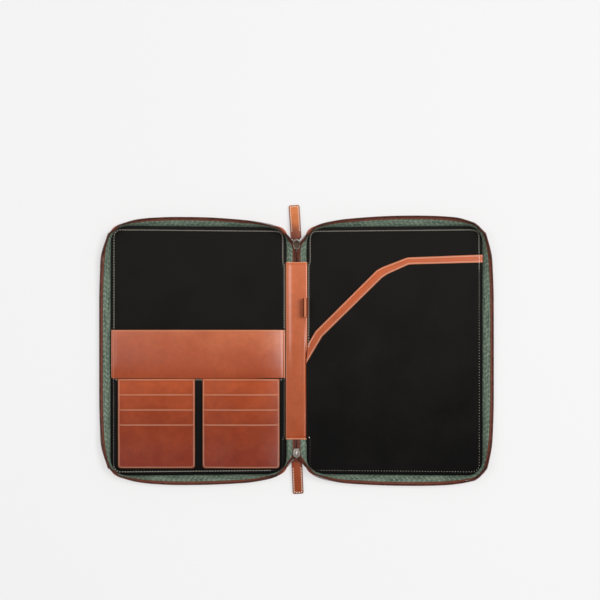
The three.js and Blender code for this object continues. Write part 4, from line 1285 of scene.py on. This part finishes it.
for end in ("top", "bottom"):
    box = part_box(f"pull_tab_{end}")
    middle = (box[0] + box[1]) / 2
    outward = 1 if end == "top" else -1
    turn = Matrix.Rotation(math.radians(tabLook["yaw"][end]), 2)
    halfWide = tabLook["width"] / 2 - tabLook["stitchIn"]
    far = tabLook["length"] / 2 - tabLook["stitchIn"]
    flat = [(halfWide, -far + 5 * mm), (halfWide, far - 1.5 * mm), (halfWide - 1.5 * mm, far),
            (-halfWide + 1.5 * mm, far), (-halfWide, far - 1.5 * mm), (-halfWide, -far + 5 * mm)]
    route = [tuple(turn @ Vector((x, outward * y)) + middle.xy) for x, y in flat]
    sewRows(f"stitchesTab_{end}", [route], surfaceOf(pullTabs[end]), 3.5 * mm, 1.45)
# The seam of tape and leather, on the outside of each wall
for side, sign in (("right", 1), ("left", -1)):
    upper = arc(spineRound, cornerRadius, 165, 90) + arc(outerRound, cornerRadius, 90, 0)
    around = [(sign * x, y) for x, y in upper + [(x, -y) for x, y in reversed(upper)]]
    sewRows(f"stitchesWall_{side}", [around], surfaceOf(bpy.data.objects[f"wallLeather_{side}"]),
            thread=tanThread, ray=fromOutside)
bpy.data.objects.remove(stitchShape)
bpy.data.objects.remove(holeShape)

# The table, the light and the camera
bpy.ops.mesh.primitive_plane_add(size=30, location=(0, 0, -0.1 * mm))
floor = bpy.context.active_object
floor.name = "paleTable"
floorMaterial, floorTree, floorShader = newMaterial("paleTableMatt")
floorShader.inputs["Emission Color"].default_value = (1, 1, 1, 1)
floorShader.inputs["Emission Strength"].default_value = 0.58
dress(floorTree, floorShader, (0.32, 0.32, 0.32, 1), 0.9, 0.1)
floor.data.materials.append(floorMaterial)

lightLook = {"sky": 0.38, "key": 62, "fill": 22}
world = bpy.data.worlds.new("studio")
scene = bpy.context.scene
scene.world = world
world.use_nodes = True
world.node_tree.nodes["Background"].inputs["Color"].default_value = (1, 1, 1, 1)
world.node_tree.nodes["Background"].inputs["Strength"].default_value = lightLook["sky"]


def softbox(name, place, size, power):
    bpy.ops.object.light_add(type="AREA", location=place)
    lamp = bpy.context.active_object
    lamp.name = name
    lamp.data.shape = "RECTANGLE"
    lamp.data.size, lamp.data.size_y = size
    lamp.data.energy = power
    lamp.rotation_euler = (-Vector(place)).to_track_quat("-Z", "Y").to_euler()


softbox("keySoftbox", (1.5, 0.4, 2.9), (1.3, 1.3), lightLook["key"])
softbox("fillSoftbox", (-1.5, 0.45, 2.9), (1.5, 1.5), lightLook["fill"])

cameraLook = {"height": 1.5, "pixel": 1.32 * mm, "focusZ": 4 * mm, "origin": (296.5, 350.75), "wide": 600,
              "sensor": 36}
bpy.ops.object.camera_add(location=(0, 0, cameraLook["height"] + cameraLook["focusZ"]), rotation=(0, 0, 0))
camera = bpy.context.active_object
wide = cameraLook["wide"]
camera.data.sensor_width = cameraLook["sensor"]
camera.data.lens = cameraLook["sensor"] * cameraLook["height"] / (wide * cameraLook["pixel"])
camera.data.shift_x = (wide / 2 - cameraLook["origin"][0]) / wide
camera.data.shift_y = (cameraLook["origin"][1] - wide / 2) / wide
scene.camera = camera
scene.view_settings.view_transform = "Standard"
print("table, light and camera set")
